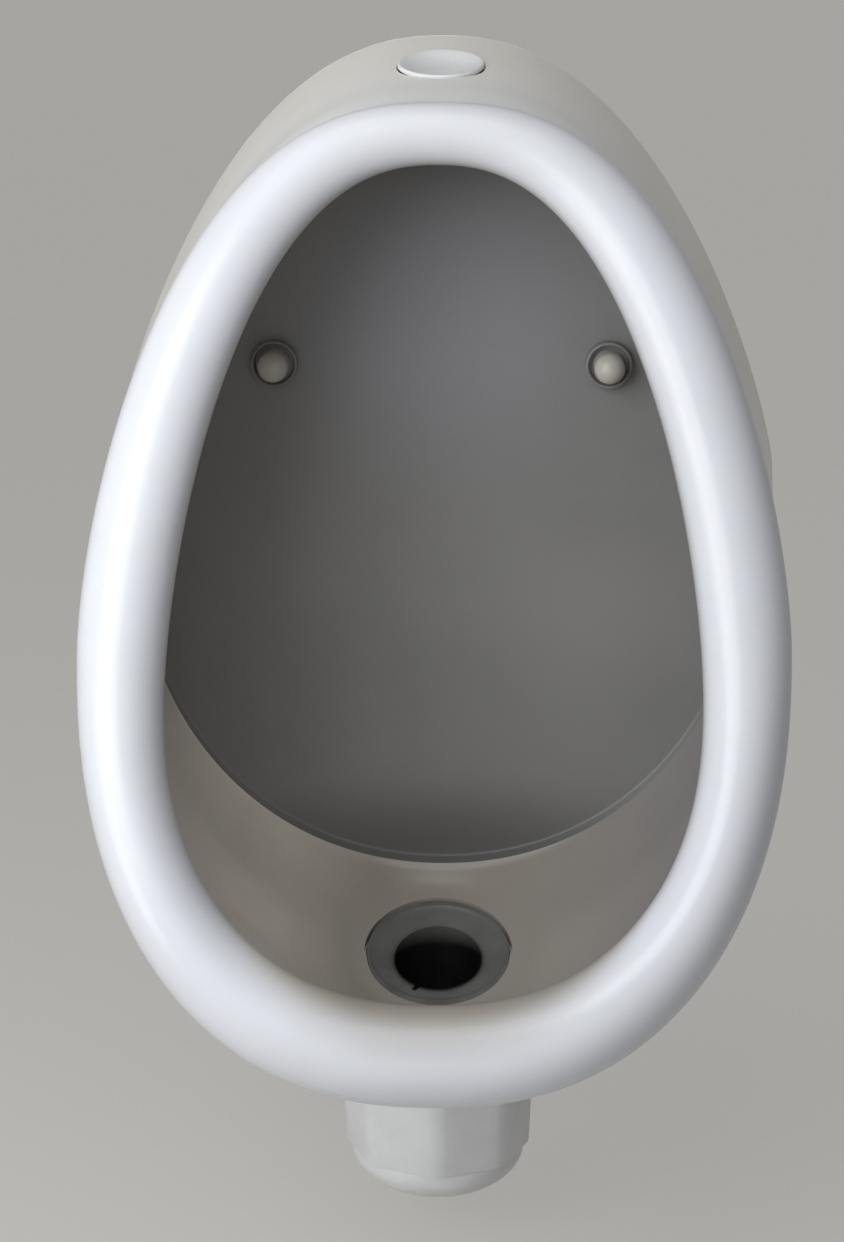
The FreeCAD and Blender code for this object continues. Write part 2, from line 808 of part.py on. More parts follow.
def wall_rosette():
    """A domed cover plate that slides on the pipe, up against the wall."""
    bore = pipe_diameter / 2 + slide_gap
    rim = rosette_diameter / 2
    collar = bore + rosette_collar
    crown = rosette_depth + rosette_collar
    shoulder = blend(collar, rim, rosette_shoulder[0])
    shoulder_height = rosette_depth * rosette_shoulder[1]
    profile = [(bore, crown), (collar, crown), (collar, rosette_depth), (shoulder, shoulder_height),
               (rim, rosette_wall), (rim, 0), (rim - rosette_wall, 0),
               (shoulder, shoulder_height - rosette_wall),
               (collar, rosette_depth - rosette_wall), (bore, rosette_depth - rosette_wall)]
    return turned(profile, at(0, slide_gap, pipe_height), FORWARD)


# ---------------------------------------------------------------- output
makers = [ceramic_body, inlet_plug, inlet_plug_seal, hanger_bolts, fixing_sleeves, cup_washers,
          steel_washers, hex_nuts, left_cover_cap, right_cover_cap, waste_outlet,
          waste_flange_seal, lower_seal, slip_washer, waste_backnut, trap_body, trap_union_nut,
          trap_cone_seal, dip_tube, trap_base, base_seal_ring, outlet_pipe, outlet_cone_seal,
          outlet_nut, wall_rosette]


def main():
    os.makedirs("parts", exist_ok=True)
    for make in makers:
        make().exportStep("parts/" + make.__name__ + ".step")


main()
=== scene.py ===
"""Wall hung urinal: the shapes, finishes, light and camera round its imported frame."""
import json
import math

import bmesh
import bpy
import numpy as np
from mathutils import Matrix, Vector
from mathutils.kdtree import KDTree


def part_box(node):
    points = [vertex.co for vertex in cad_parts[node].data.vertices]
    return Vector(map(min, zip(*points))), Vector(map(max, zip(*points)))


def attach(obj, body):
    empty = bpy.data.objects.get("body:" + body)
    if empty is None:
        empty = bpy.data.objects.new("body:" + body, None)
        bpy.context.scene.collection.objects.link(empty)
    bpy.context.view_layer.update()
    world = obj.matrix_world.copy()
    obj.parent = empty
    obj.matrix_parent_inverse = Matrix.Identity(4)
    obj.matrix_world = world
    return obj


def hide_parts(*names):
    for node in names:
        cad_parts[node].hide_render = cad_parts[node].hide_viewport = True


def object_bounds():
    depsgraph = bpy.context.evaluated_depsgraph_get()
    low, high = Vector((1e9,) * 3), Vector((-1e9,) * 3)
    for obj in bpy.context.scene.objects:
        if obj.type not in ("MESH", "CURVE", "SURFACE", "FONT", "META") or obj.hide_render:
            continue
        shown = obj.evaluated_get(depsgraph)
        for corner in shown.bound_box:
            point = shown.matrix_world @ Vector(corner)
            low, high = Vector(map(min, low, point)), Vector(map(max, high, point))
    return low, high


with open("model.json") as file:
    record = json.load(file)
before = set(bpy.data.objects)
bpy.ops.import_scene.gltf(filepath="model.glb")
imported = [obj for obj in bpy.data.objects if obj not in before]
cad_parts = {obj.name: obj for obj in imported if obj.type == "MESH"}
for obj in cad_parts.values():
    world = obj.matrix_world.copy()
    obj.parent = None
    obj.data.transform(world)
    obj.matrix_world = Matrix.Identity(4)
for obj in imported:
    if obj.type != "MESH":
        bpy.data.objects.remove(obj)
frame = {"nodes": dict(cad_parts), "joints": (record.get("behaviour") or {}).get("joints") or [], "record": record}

CAD_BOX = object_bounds()
MM = 0.001

bl_info = {
    "name": "Wall hung urinal",
    "version": (1, 0, 0),
    "blender": (4, 5, 0),
    "location": "3D View > Sidebar > Urinal",
    "description": "Models the china bowl, its fixings, its waste and its bottle trap",
    "category": "Object",
}


# ---------------------------------------------------------------- settings
def length(name, text, default):
    return bpy.props.FloatProperty(name=name, description=text, default=default,
                                   unit="LENGTH", subtype="DISTANCE", min=0.0)


def colour(name, text, default):
    return bpy.props.FloatVectorProperty(name=name, description=text, default=default, size=3,
                                         subtype="COLOR", min=0.0, max=1.0)


def power(name, text, default):
    return bpy.props.FloatProperty(name=name, description=text, default=default, min=0.0)


class ChinaSettings(bpy.types.PropertyGroup):
    """Sizes and glaze colours of the bowl, and the painted light and shade laid into them."""
    back_half_width: length("Back half width", "Half the width of the outline on the wall", 0.187)
    back_top: length("Back top", "Top of that outline over the fixing bolts", 0.177)
    back_drop: length("Back drop", "Foot of that outline under the fixing bolts", 0.302)
    back_thickness: length("Back thickness", "China between the wall and the bowl", 0.022)
    edge_round: length("Edge round", "Rounding of the glazed edge on the wall", 0.002)
    corner_round: length("Corner round", "Hollow rounding where the bowl meets its back wall", 0.0025)
    lip_round: length("Lip round", "Rounding of the glaze round the holes", 0.0010)
    white: colour("White glaze", "Glaze of the rim and the outside", (0.775, 0.80, 0.86))
    # Painted light: a paler, yellower white on the hood and the sides near the wall.
    hood_painted_light: colour("Hood painted light", "Painted light on the hood and sides near the wall", (0.92, 0.905, 0.85))
    # Painted shade darkens the glaze of the bowl's floor in its middle.
    floor_glaze_and_shade: colour("Floor glaze and painted shade", "Glaze of the middle of the bowl's floor, darkened by painted shade", (0.385, 0.358, 0.313))
    # Painted light: the bowl's floor and side are lighter at the left.
    left_painted_light: colour("Left floor painted light", "Painted light on the bowl's left side", (1.0, 0.945, 0.84))
    # Painted shade: the bowl's floor and side are darker at the right.
    right_painted_shade: colour("Right floor painted shade", "Painted shade on the bowl's right side", (0.28, 0.27, 0.275))
    # The back wall's grey: its glaze, darkened by painted shade.
    grey: colour("Back glaze", "Glaze of the bowl's flat back wall, darkened by painted shade", (0.255, 0.255, 0.254))
    # Painted light: a bluer, lighter patch on the back wall under the hood.
    blue_painted_light: colour("Blue grey", "Painted light on that wall under the hood", (0.32, 0.325, 0.36))
    # Painted reflection: a pale patch at the right of the back wall.
    pale_painted_reflection: colour("Pale grey", "Painted reflection at the right of that wall", (0.28, 0.278, 0.27))
    # Painted shade at the foot of the back wall and at its top under the hood.
    dark_painted_shade: colour("Dark grey", "Painted shade at the foot and the top of that wall", (0.13, 0.13, 0.13))


class FittingSettings(bpy.types.PropertyGroup):
    """Colours of the plastic, rubber and steel fittings, with painted shade on the caps and down the waste's bore.
    """
    plastic: colour("White plastic", "Trap, nuts, pipe and plug", (0.89, 0.905, 0.92))
    # Painted shade: the caps' plastic is darkened to the shade inside the bowl.
    cap: colour("Cap plastic", "Covers of the fixing nuts", (0.64, 0.615, 0.56))
    cup: colour("Cup plastic", "Cups under the covers", (0.26, 0.26, 0.257))
    flange: colour("Waste flange", "Dished ring in the floor", (0.165, 0.167, 0.165))
    # Painted shade: the near black down in the waste's bore.
    bore_painted_shade: colour("Waste painted shade", "Painted shade down the waste's bore", (0.006, 0.006, 0.006))
    rubber: colour("Rubber", "Seals", (0.02, 0.02, 0.022))
    natural: colour("Natural plastic", "Sleeves and slip washer", (0.62, 0.61, 0.57))
    steel: colour("Plated steel", "Bolts, nuts and washers", (0.56, 0.57, 0.58))


class StudioSettings(bpy.types.PropertyGroup):
    """Light and camera."""
    key_watts: power("Key light", "Power of the soft lamp at the left", 3.7)
    front_watts: power("Front light", "Power of the soft lamp in front", 6.2)
    top_watts: power("Top light", "Power of the soft lamp overhead", 3.5)
    low_watts: power("Low light", "Power of the soft lamp low at the left", 3.3)
    sky: power("Sky", "Strength of the even light from all round", 0.16)
    floor: colour("Floor", "Colour of the plain floor", (0.60, 0.585, 0.56))
    distance: length("Camera distance", "From the camera to the point it aims at", 1.35)
    tilt: bpy.props.FloatProperty(name="Camera tilt", description="Angle the camera looks down at",
                                  default=math.radians(15.0), subtype="ANGLE")
    lens: bpy.props.FloatProperty(name="Lens", description="Focal length in millimetres",
                                  default=78.26, min=1.0, subtype="DISTANCE_CAMERA")


def china():
    return bpy.context.scene.urinal_china


def fittings():
    return bpy.context.scene.urinal_fittings


def studio():
    return bpy.context.scene.urinal_studio


# ---------------------------------------------------------------- places read from the frame
UP = Vector((0, 0, 1))
DOWN = Vector((0, 0, -1))
FORWARD = Vector((0, -1, 0))
INTO_WALL = Vector((0, 1, 0))


def middle(node):
    low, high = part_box(node)
    return (low + high) / 2


def size(node):
    low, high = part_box(node)
    return high - low


def joint(name):
    return next(j for j in frame["joints"] if j["name"] == name)


def waste_axis(z=0.0):
    centre = middle("waste_outlet")
    return Vector((centre.x, centre.y, z))


FLOOR_SLOPE = math.radians(21.0)
FLOOR_NORMAL = Vector((0, -math.sin(FLOOR_SLOPE), math.cos(FLOOR_SLOPE)))


# ---------------------------------------------------------------- outlines of the china
class Outline:
    """One egg outline in a plane that runs through its top and its foot, as (out, height) in mm."""

    def __init__(self, top, foot, half_width, widest, upper, lower):
        self.top, self.foot = top, foot
        self.half_width, self.widest = half_width, widest
        self.upper, self.lower = upper, lower

    def half_at(self, z):
        above = z > self.widest
        span = np.where(above, self.top[1] - self.widest, self.widest - self.foot[1])
        share = np.minimum(np.abs(z - self.widest) / span, 1.0)
        inner = np.where(above, self.upper[0], self.lower)
        outer = np.where(above, self.upper[1], self.lower)
        return self.half_width * np.maximum(0.0, 1 - share ** inner) ** (1 / outer)

    def ring(self, count):
        """Points all round from the top, down the right side first, evenly spaced."""
        reach = np.cos(np.linspace(0, math.pi, 1201))
        span = np.where(reach > 0, self.top[1] - self.widest, self.widest - self.foot[1])
        z = self.widest + span * reach
        down = (self.top[1] - z) / (self.top[1] - self.foot[1])
        out = self.top[0] + down * (self.foot[0] - self.top[0])
        side = np.stack([self.half_at(z), -out, z], 1)
        run = np.concatenate([[0], np.cumsum(np.linalg.norm(np.diff(side, axis=0), axis=1))])
        goal = np.linspace(0, run[-1], count // 2 + 1)
        right = np.stack([np.interp(goal, run, side[:, k]) for k in range(3)], 1)
        left = right[-2:0:-1] * (-1, 1, 1)
        return np.concatenate([right, left])


def blend(a, b, share):
    return a + (b - a) * share


class BowlForm:
    """The china's main lines in mm, each worked out from the back outline."""
    rim_top_out, rim_top_drop = 128.0, 42.5
    rim_foot_out, rim_foot_rise = 280.0, 2.0
    roll_top, roll_side, roll_foot = 15.7, 21.8, 25.0
    rim_widest_drop, rim_widest_shift = 62.5, 12.5
    rim_narrowing, neck_setback, neck_inset = 9.7, 10.0, 5.3
    side_wall, floor_wall, hood_wall = 14.0, 13.0, 12.5
    bowl_top_drop, bowl_foot_rise, bowl_widest_drop = 24.0, 12.0, 40.0
    back_widest = -60.0
    drain_out, drain_drop, flange_reach, low_gap = 85.0, 33.5, 40.0, 5.0

    def __init__(self, settings):
        self.half = settings.back_half_width / MM
        self.top = settings.back_top / MM
        self.foot = -settings.back_drop / MM
        self.back = settings.back_thickness / MM
        self.drain_z = self.foot + self.bowl_foot_rise - self.drain_drop
        self.low_out = self.drain_out + self.flange_reach + self.low_gap
        self.bowl_half = self.half - self.side_wall
        self.ceiling = self.top - self.bowl_top_drop
        self.bowl_widest = self.back_widest - self.bowl_widest_drop
        rim_rise = self.top - self.rim_top_drop - self.foot - self.rim_foot_rise
        self.lean = math.atan2(self.rim_foot_out - self.rim_top_out, rim_rise)

    def floor(self, out):
        return self.drain_z - (out - self.drain_out) * math.tan(FLOOR_SLOPE)

    def rim(self, degrees):
        """A line round the rim's roll: 0 is its outer edge, 90 its crest, 180 its inner edge."""
        reach, rise = math.cos(math.radians(degrees)), math.sin(math.radians(degrees))
        up = (-math.sin(self.lean), math.cos(self.lean))
        front = (math.cos(self.lean), math.sin(self.lean))
        top = [(self.rim_top_out, self.top - self.rim_top_drop)[k]
               + self.roll_top * (reach * up[k] + rise * front[k]) for k in (0, 1)]
        foot = [(self.rim_foot_out, self.foot + self.rim_foot_rise)[k]
                + self.roll_foot * (-reach * up[k] + rise * front[k]) for k in (0, 1)]
        widest = (self.back_widest - self.rim_widest_drop + self.rim_widest_shift * reach
                  + self.roll_side * rise * math.sin(self.lean))
        half = self.half - self.rim_narrowing - self.roll_side * (1 - reach)
        return Outline(top, foot, half, widest, (1.64 - 0.04 * reach, 2.42 + 0.08 * reach), 2.3)

    def neck(self):
        edge = self.rim(0)
        return Outline((edge.top[0] - self.neck_setback, edge.top[1] - 1),
                       (edge.foot[0] - 2.6 * self.neck_setback, edge.foot[1] - 3),
                       edge.half_width - self.neck_inset, edge.widest + 5, (1.5, 2.45), 2.3)

    def hood(self, out):
        neck = self.neck()
        return blend(self.top, neck.top[1], out / neck.top[0])

    def belly(self, out):
        neck = self.neck()
        lowest = self.floor(self.low_out) - self.floor_wall
        if out < self.low_out:
            return blend(self.foot, lowest, math.sin(math.pi / 2 * out / self.low_out))
        share = (out - self.low_out) / (neck.foot[0] - self.low_out)
        return blend(lowest, neck.foot[1], share ** 2)

    def wall(self):
        return Outline((0, self.top), (0, self.foot), self.half, self.back_widest, (1.25, 2.25), 2.6)

    def outside(self):
        wall, neck, lines = self.wall(), self.neck(), []
        for share in (0.24, 0.48, 0.70, 0.88):
            top_out, foot_out = neck.top[0] * share, neck.foot[0] * share
            lines.append(Outline((top_out, self.hood(top_out)), (foot_out, self.belly(foot_out)),
                                 blend(wall.half_width, neck.half_width, share),
                                 blend(wall.widest, neck.widest, share),
                                 (blend(1.25, 1.5, share), blend(2.25, 2.45, share)),
                                 blend(2.6, 2.3, share)))
        return [wall] + lines + [neck]

    def inside(self):
        lip, lines = self.rim(250), []
        for share in (0.25, 0.60):
            top_out = blend(lip.top[0], self.back, share * 0.75)
            ceiling = min(self.hood(top_out) - self.hood_wall, self.ceiling)
            foot = blend(self.floor(self.low_out), lip.foot[1], (1 - share) ** 3)
            half = blend(self.bowl_half, lip.half_width, (1 - share) ** 2)
            lines.append(Outline((top_out, ceiling), (blend(lip.foot[0], self.low_out, share), foot),
                                 half, blend(lip.widest, self.bowl_widest, share), (1.5, 2.35), 2.25))
        for share, out in ((0.55, self.drain_out + self.flange_reach), (0.30, self.drain_out),
                           (0.10, self.drain_out - self.flange_reach)):
            top_out = blend(self.back, lip.top[0], share)
            ceiling = min(self.hood(top_out) - self.hood_wall, self.ceiling)
            lines.append(Outline((top_out, ceiling), (out, self.floor(out)), self.bowl_half,
                                 self.bowl_widest, (1.35, 2.3), 2.12))
        lines.append(Outline((self.back, self.ceiling), (self.back, self.foot + self.bowl_foot_rise),
                             self.bowl_half, self.bowl_widest, (1.3, 2.3), 2.1))
        return lines


def natural_curve(knots, values, places):
    """Values of a natural cubic curve through values at knots, for every column at once."""
    gaps = np.diff(knots)
    count = len(knots)
    matrix, right = np.eye(count), np.zeros_like(values)
    for k in range(1, count - 1):
        matrix[k, k - 1:k + 2] = gaps[k - 1], 2 * (gaps[k - 1] + gaps[k]), gaps[k]
        right[k] = 6 * ((values[k + 1] - values[k]) / gaps[k]
                        - (values[k] - values[k - 1]) / gaps[k - 1])
    bend = np.linalg.solve(matrix, right)
    at = np.clip(np.searchsorted(knots, places, "right") - 1, 0, count - 2)
    gap = gaps[at][:, None]
    a = (knots[at + 1] - places)[:, None] / gap
    b = 1 - a
    return (a * values[at] + b * values[at + 1]
            + ((a ** 3 - a) * bend[at] + (b ** 3 - b) * bend[at + 1]) * gap ** 2 / 6)


# ---------------------------------------------------------------- mesh helpers
def deselect():
    if bpy.context.object and bpy.context.object.mode != "OBJECT":
        bpy.ops.object.mode_set(mode="OBJECT")
    bpy.ops.object.select_all(action="DESELECT")


def activate(obj):
    deselect()
    obj.select_set(True)
    bpy.context.view_layer.objects.active = obj
    return obj


def settle(obj):
    """Puts the object's place into its mesh, so that the object itself sits at the origin."""
    activate(obj)
    bpy.ops.object.transform_apply(location=True, rotation=True, scale=True)
    return obj


def in_edit(obj, *steps, select="SELECT"):
    """Runs edit mode steps on the whole mesh."""
    activate(obj)
    bpy.ops.object.mode_set(mode="EDIT")
    bpy.ops.mesh.select_all(action=select)
    for step in steps:
        step()
    bpy.ops.object.mode_set(mode="OBJECT")
    return obj


def everything():
    bpy.ops.mesh.select_all(action="SELECT")


def outwards():
    bpy.ops.mesh.normals_make_consistent(inside=False)


def weld(reach=1e-6):
    return lambda: bpy.ops.mesh.remove_doubles(threshold=reach)


def with_modifier(obj, kind, **values):
    activate(obj)
    modifier = obj.modifiers.new(kind.title(), kind)
    for key, value in values.items():
        setattr(modifier, key, value)
    bpy.ops.object.modifier_apply(modifier=modifier.name)
    return obj


def smooth(obj, degrees=32.0):
    activate(obj)
    bpy.ops.object.shade_smooth_by_angle(angle=math.radians(degrees))
    return obj


def rounded(obj, width, segments=3, degrees=32.0):
    return with_modifier(obj, "BEVEL", width=width, segments=segments, limit_method="ANGLE",
                         angle_limit=math.radians(degrees), use_clamp_overlap=True)


def combined(obj, tool, operation="DIFFERENCE"):
    """Cuts, joins or meets obj with a tool piece, which goes away."""
    with_modifier(obj, "BOOLEAN", object=tool, operation=operation, solver="EXACT")
    bpy.data.objects.remove(tool)
    return obj


def mended(obj, reach=5e-6):
    """Closes the hairline gaps that a row of cuts leaves along its edges."""
    return in_edit(obj, weld(reach), lambda: bpy.ops.mesh.dissolve_degenerate(threshold=reach),
                   everything, outwards)


def fill_open_rings():
    """Fills the open rings at the two ends of a wrapped grid."""
    bpy.ops.mesh.select_all(action="DESELECT")
    bpy.ops.mesh.select_mode(type="VERT")
    bpy.ops.mesh.select_non_manifold(extend=False)
    bpy.ops.mesh.edge_face_add()


def joined(name, *objects):
    deselect()
    for obj in objects:
        obj.select_set(True)
    bpy.context.view_layer.objects.active = objects[0]
    bpy.ops.object.join()
    objects[0].name = name
    return objects[0]


def turned_towards(obj, base, axis):
    """Moves a piece made on the Z axis so that this axis becomes axis through base."""
    obj.matrix_world = Matrix.Translation(base) @ UP.rotation_difference(axis).to_matrix().to_4x4()
    return settle(obj)


def turned(name, section, base, axis=UP, steps=72):
    """A closed section of (radius, height) points in mm, spun about an axis."""
    deselect()
    bpy.ops.mesh.primitive_circle_add(vertices=len(section), radius=MM)
    obj = bpy.context.object
    obj.name = name
    for vertex, (radius, height) in zip(obj.data.vertices, section):
        vertex.co = (radius * MM, 0, height * MM)
    in_edit(obj, lambda: bpy.ops.mesh.spin(steps=steps, angle=2 * math.pi, center=(0, 0, 0), axis=UP),
            everything, weld(1e-7), lambda: bpy.ops.mesh.dissolve_degenerate(threshold=1e-7),
            everything, bpy.ops.mesh.delete_loose, everything, outwards)
    return turned_towards(obj, base, axis)


def rod(radius, length, base, axis=UP, steps=72):
    """A plain round tool, in mm."""
    return turned("tool", [(0, 0), (radius, 0), (radius, length), (0, length)], base, axis, steps)


def arc(centre, radius, start, end, count=6):
    """Section points along an arc, angles in degrees from the radius direction."""
    turns = [math.radians(blend(start, end, k / count)) for k in range(count + 1)]
    return [(centre[0] + radius * math.cos(t), centre[1] + radius * math.sin(t)) for t in turns]


def dished(flat, radius, low, high, count):
    """Section points of a dish in mm: from the axis, over a flat middle, up to its full radius."""
    turns = np.linspace(0, math.pi / 2, count)
    curve = [(flat + (radius - flat) * math.sin(turn), high - (high - low) * math.cos(turn))
             for turn in turns]
    return curve if flat == 0 else [(0, low)] + curve


def block(low, high):
    deselect()
    bpy.ops.mesh.primitive_cube_add(size=1)
    obj = bpy.context.object
    obj.matrix_world = (Matrix.Translation((Vector(low) + Vector(high)) / 2)
                        @ Matrix.Diagonal((*(Vector(high) - Vector(low)), 1)))
    return settle(obj)


def on_floor(obj, base, turn=0.0):
    """Tilts a tool piece about base to lie along the bowl's floor, after a turn on the level."""
    obj.matrix_world = (Matrix.Translation(base) @ Matrix.Rotation(FLOOR_SLOPE, 4, "X")
                        @ Matrix.Rotation(turn, 4, "Z"))
    return settle(obj)


def mirrored(obj, name):
    """A copy on the other side of the middle, facing outwards."""
    twin = obj.copy()
    twin.data = obj.data.copy()
    bpy.context.collection.objects.link(twin)
    twin.name = name
    twin.data.transform(Matrix.Diagonal((-1, 1, 1, 1)))
    in_edit(twin, outwards)
    return twin


def pair(obj, name):
    """A right piece and its mirror image, as one object."""
    return joined(name, obj, mirrored(obj, name))


def stands_for(obj, *nodes):
    """Names a finished piece, lets it ride on its node's body and hides the node's own solids."""
    obj.name = nodes[0] + "_piece"
    record = frame["record"]
    body = next(b for b, members in record["behaviour"]["bodies"].items() if nodes[0] in members)
    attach(obj, body)
    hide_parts(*nodes)
    return obj


def finished(obj, degrees, material, node):
    """Shades a piece smooth up to this edge angle and lets it stand for its node in its material."""
    smooth(obj, degrees)
    obj.data.materials.append(material)
    return stands_for(obj, node)


# ---------------------------------------------------------------- finishes
def add(tree, kind, inputs=None, **settings):
    """A shader node with its settings, and its inputs set or wired by name or place."""
    node = tree.nodes.new("ShaderNode" + kind)
    for key, value in settings.items():
        setattr(node, key, value)
    for key, value in (inputs or {}).items():
        if isinstance(value, bpy.types.NodeSocket):
            tree.links.new(value, node.inputs[key])
        else:
            node.inputs[key].default_value = value
    return node


def maths(tree, operation, first, second):
    return add(tree, "Math", {0: first, 1: second}, operation=operation).outputs[0]


def mixed(tree, share, first, second):
    return add(tree, "Mix", {0: share, 6: first, 7: second}, data_type="RGBA").outputs[2]


def ramp(tree, value, start, end, low=0.0, high=1.0, style="SMOOTHSTEP"):
    """Takes a value that runs from start to end to one that runs from low to high."""
    return add(tree, "MapRange", {"Value": value, "From Min": start, "From Max": end,
                                  "To Min": low, "To Max": high}, interpolation_type=style).outputs[0]


def noise(tree, place, scale, detail, roughness, distortion=0.0):
    return add(tree, "TexNoise", {"Vector": place, "Scale": scale, "Detail": detail,
                                  "Roughness": roughness, "Distortion": distortion}).outputs["Fac"]


def across(tree, place, first, last, axis="X"):
    """Runs from 0 at the first place along an axis to 1 at the last one."""
    return ramp(tree, add(tree, "SeparateXYZ", {0: place}).outputs[axis], first, last)


def rgba(rgb, share=1.0):
    return (*(min(1.0, part * share) for part in rgb), 1.0)


def effect(tree, name, inputs, output, build, values):
    """Places the named shader node group with values in the order of its inputs.

    The group is made at its first use: build gets its tree and inputs, and gives its result."""
    group = bpy.data.node_groups.get(name)
    if group is None:
        group = bpy.data.node_groups.new(name, "ShaderNodeTree")
        for text, kind, value in inputs:
            socket = group.interface.new_socket(name=text, in_out="INPUT",
                                                socket_type="NodeSocket" + kind)
            socket.default_value = value
        group.interface.new_socket(name=output[0], in_out="OUTPUT",
                                   socket_type="NodeSocket" + output[1])
        given = group.nodes.new("NodeGroupInput").outputs
        result = build(group, *(given[text] for text, _, _ in inputs))
        group.links.new(result, group.nodes.new("NodeGroupOutput").inputs[0])
    return add(tree, "Group", dict(enumerate(values)), node_tree=group).outputs[0]


PLACE = ("Place", "Vector", (0, 0, 0))


def clouds(tree, *values):
    """Soft cloudy change from one colour to a second one: place, colours, scale and amount."""
    def build(group, place, first, second, scale, amount):
        cloud = noise(group, place, scale, 4.0, 0.55)
        return mixed(group, ramp(group, cloud, 0.35, 0.70, 0.0, amount), first, second)
    return effect(tree, "Cloudy colour", [
        PLACE, ("Colour", "Color", (1, 1, 1, 1)), ("Second", "Color", (1, 1, 1, 1)),
        ("Scale", "Float", 20.0), ("Amount", "Float", 0.5)], ("Colour", "Color"), build, values)


def soft_zone(tree, *values):
    """A mask that fades out round a centre, in an egg: place, centre, half sizes and strength."""
    def build(group, place, centre, reach, strength):
        offset = add(group, "VectorMath", {0: place, 1: centre}, operation="SUBTRACT").outputs[0]
        scaled = add(group, "VectorMath", {0: offset, 1: reach}, operation="DIVIDE").outputs[0]
        far = add(group, "VectorMath", {0: scaled}, operation="LENGTH").outputs["Value"]
        return ramp(group, far, 1.0, 0.0, 0.0, strength, "SMOOTHERSTEP")
    return effect(tree, "Soft zone", [
        PLACE, ("Centre", "Vector", (0, 0, 0)), ("Reach", "Vector", (0.1, 0.1, 0.1)),
        ("Strength", "Float", 1.0)], ("Mask", "Float"), build, values)


def uneven_gloss(tree, *values):
    """Roughness that wanders, as on a wiped surface: place, its two ends and the scale."""
    def build(group, place, low, high, scale):
        return ramp(group, noise(group, place, scale, 5.0, 0.62, 0.3), 0.3, 0.72, low, high, "LINEAR")
    return effect(tree, "Uneven gloss", [
        PLACE, ("Smooth", "Float", 0.1), ("Rough", "Float", 0.2), ("Scale", "Float", 12.0)],
        ("Roughness", "Float"), build, values)


def surface_relief(tree, *values):
    """Long soft ripples and a fine skin over them: place, then scale and height in m of each."""
    def build(group, place, ripple_scale, ripple_height, skin_scale, skin_height):
        broad = add(group, "Bump", {"Strength": 1.0, "Distance": ripple_height,
                                    "Height": noise(group, place, ripple_scale, 1.0, 0.4)})
        fine = add(group, "Bump", {"Strength": 1.0, "Distance": skin_height,
                                   "Height": noise(group, place, skin_scale, 2.0, 0.5),
                                   "Normal": broad.outputs["Normal"]})
        return fine.outputs["Normal"]
    return effect(tree, "Surface relief", [
        PLACE, ("Ripple scale", "Float", 16.0), ("Ripple height", "Float", 0.0004),
        ("Skin scale", "Float", 700.0), ("Skin height", "Float", 0.00002)],
        ("Normal", "Vector"), build, values)


def plain_finish(name, **values):
    """A new material with its tree and its shader, whose sockets take the values."""
    made = bpy.data.materials.new(name)
    made.use_nodes = True
    shader = made.node_tree.nodes["Principled BSDF"]
    for key, value in values.items():
        shader.inputs[key.replace("_", " ")].default_value = value
    return made, made.node_tree, shader


def finish(name, colour, gloss, relief, matt=None, **values):
    """A material, made once, whose patterns follow the object's own coordinates.

    colour and matt build their part of its tree, and where matt reaches 1 the gloss is lost.
    gloss and relief are what those two effects take after the place."""
    found = bpy.data.materials.get(name)
    if found:
        return found
    made, tree, shader = plain_finish(name, **values)
    place = add(tree, "TexCoord").outputs["Object"]
    rough = uneven_gloss(tree, place, *gloss)
    if matt:
        rough = maths(tree, "MAXIMUM", rough, matt(tree, place))
    for socket, value in (("Base Color", colour(tree, place)), ("Roughness", rough),
                          ("Normal", surface_relief(tree, place, *relief))):
        tree.links.new(value, shader.inputs[socket])
    return made


def clouded(*values):
    """The colour of a plain finish: its tint, a second one, and the clouds' scale and amount."""
    return lambda tree, place: clouds(tree, place, *values)


def glaze(name, colour, matt=None):
    """Fired glaze: a deep gloss and the slow ripple of china under the colour that it is given."""
    return finish(name, colour, (0.20, 0.28, 9.0), (7.0, 0.0005, 90.0, 0.000012), matt, IOR=1.5)


def rim_and_bowl_glaze():
    """White on the rim, paler and yellower near the wall as painted light, turning to the bowl's tint: its glaze
    darkened by painted shade, with painted light at the left and painted shade at the right.
    """
    tints = china()

    def colour(tree, place):
        white = clouds(tree, place, rgba(tints.white), rgba(tints.white, 0.965), 14.0, 1.0)
        # Painted light: the white turns paler and yellower towards the wall, over the hood and the sides.
        white = mixed(tree, across(tree, place, -0.17, -0.02, "Y"), white, rgba(tints.hood_painted_light))
        # Painted light on the bowl's left and painted shade at its right; the middle is glaze darkened by painted
        # shade.
        lit = mixed(tree, across(tree, place, -0.12, -0.03), rgba(tints.left_painted_light), rgba(tints.floor_glaze_and_shade))
        floor = mixed(tree, across(tree, place, 0.0, 0.16), lit, rgba(tints.right_painted_shade))
        floor = clouds(tree, place, floor, rgba(tints.floor_glaze_and_shade), 10.0, 0.25)
        # Where the rim turns in, the white gives way to the bowl's tint and its painted shade.
        share = add(tree, "Attribute", attribute_name="turned_in").outputs["Fac"]
        return mixed(tree, share, white, floor)
    return glaze("Rim and bowl glaze", colour)


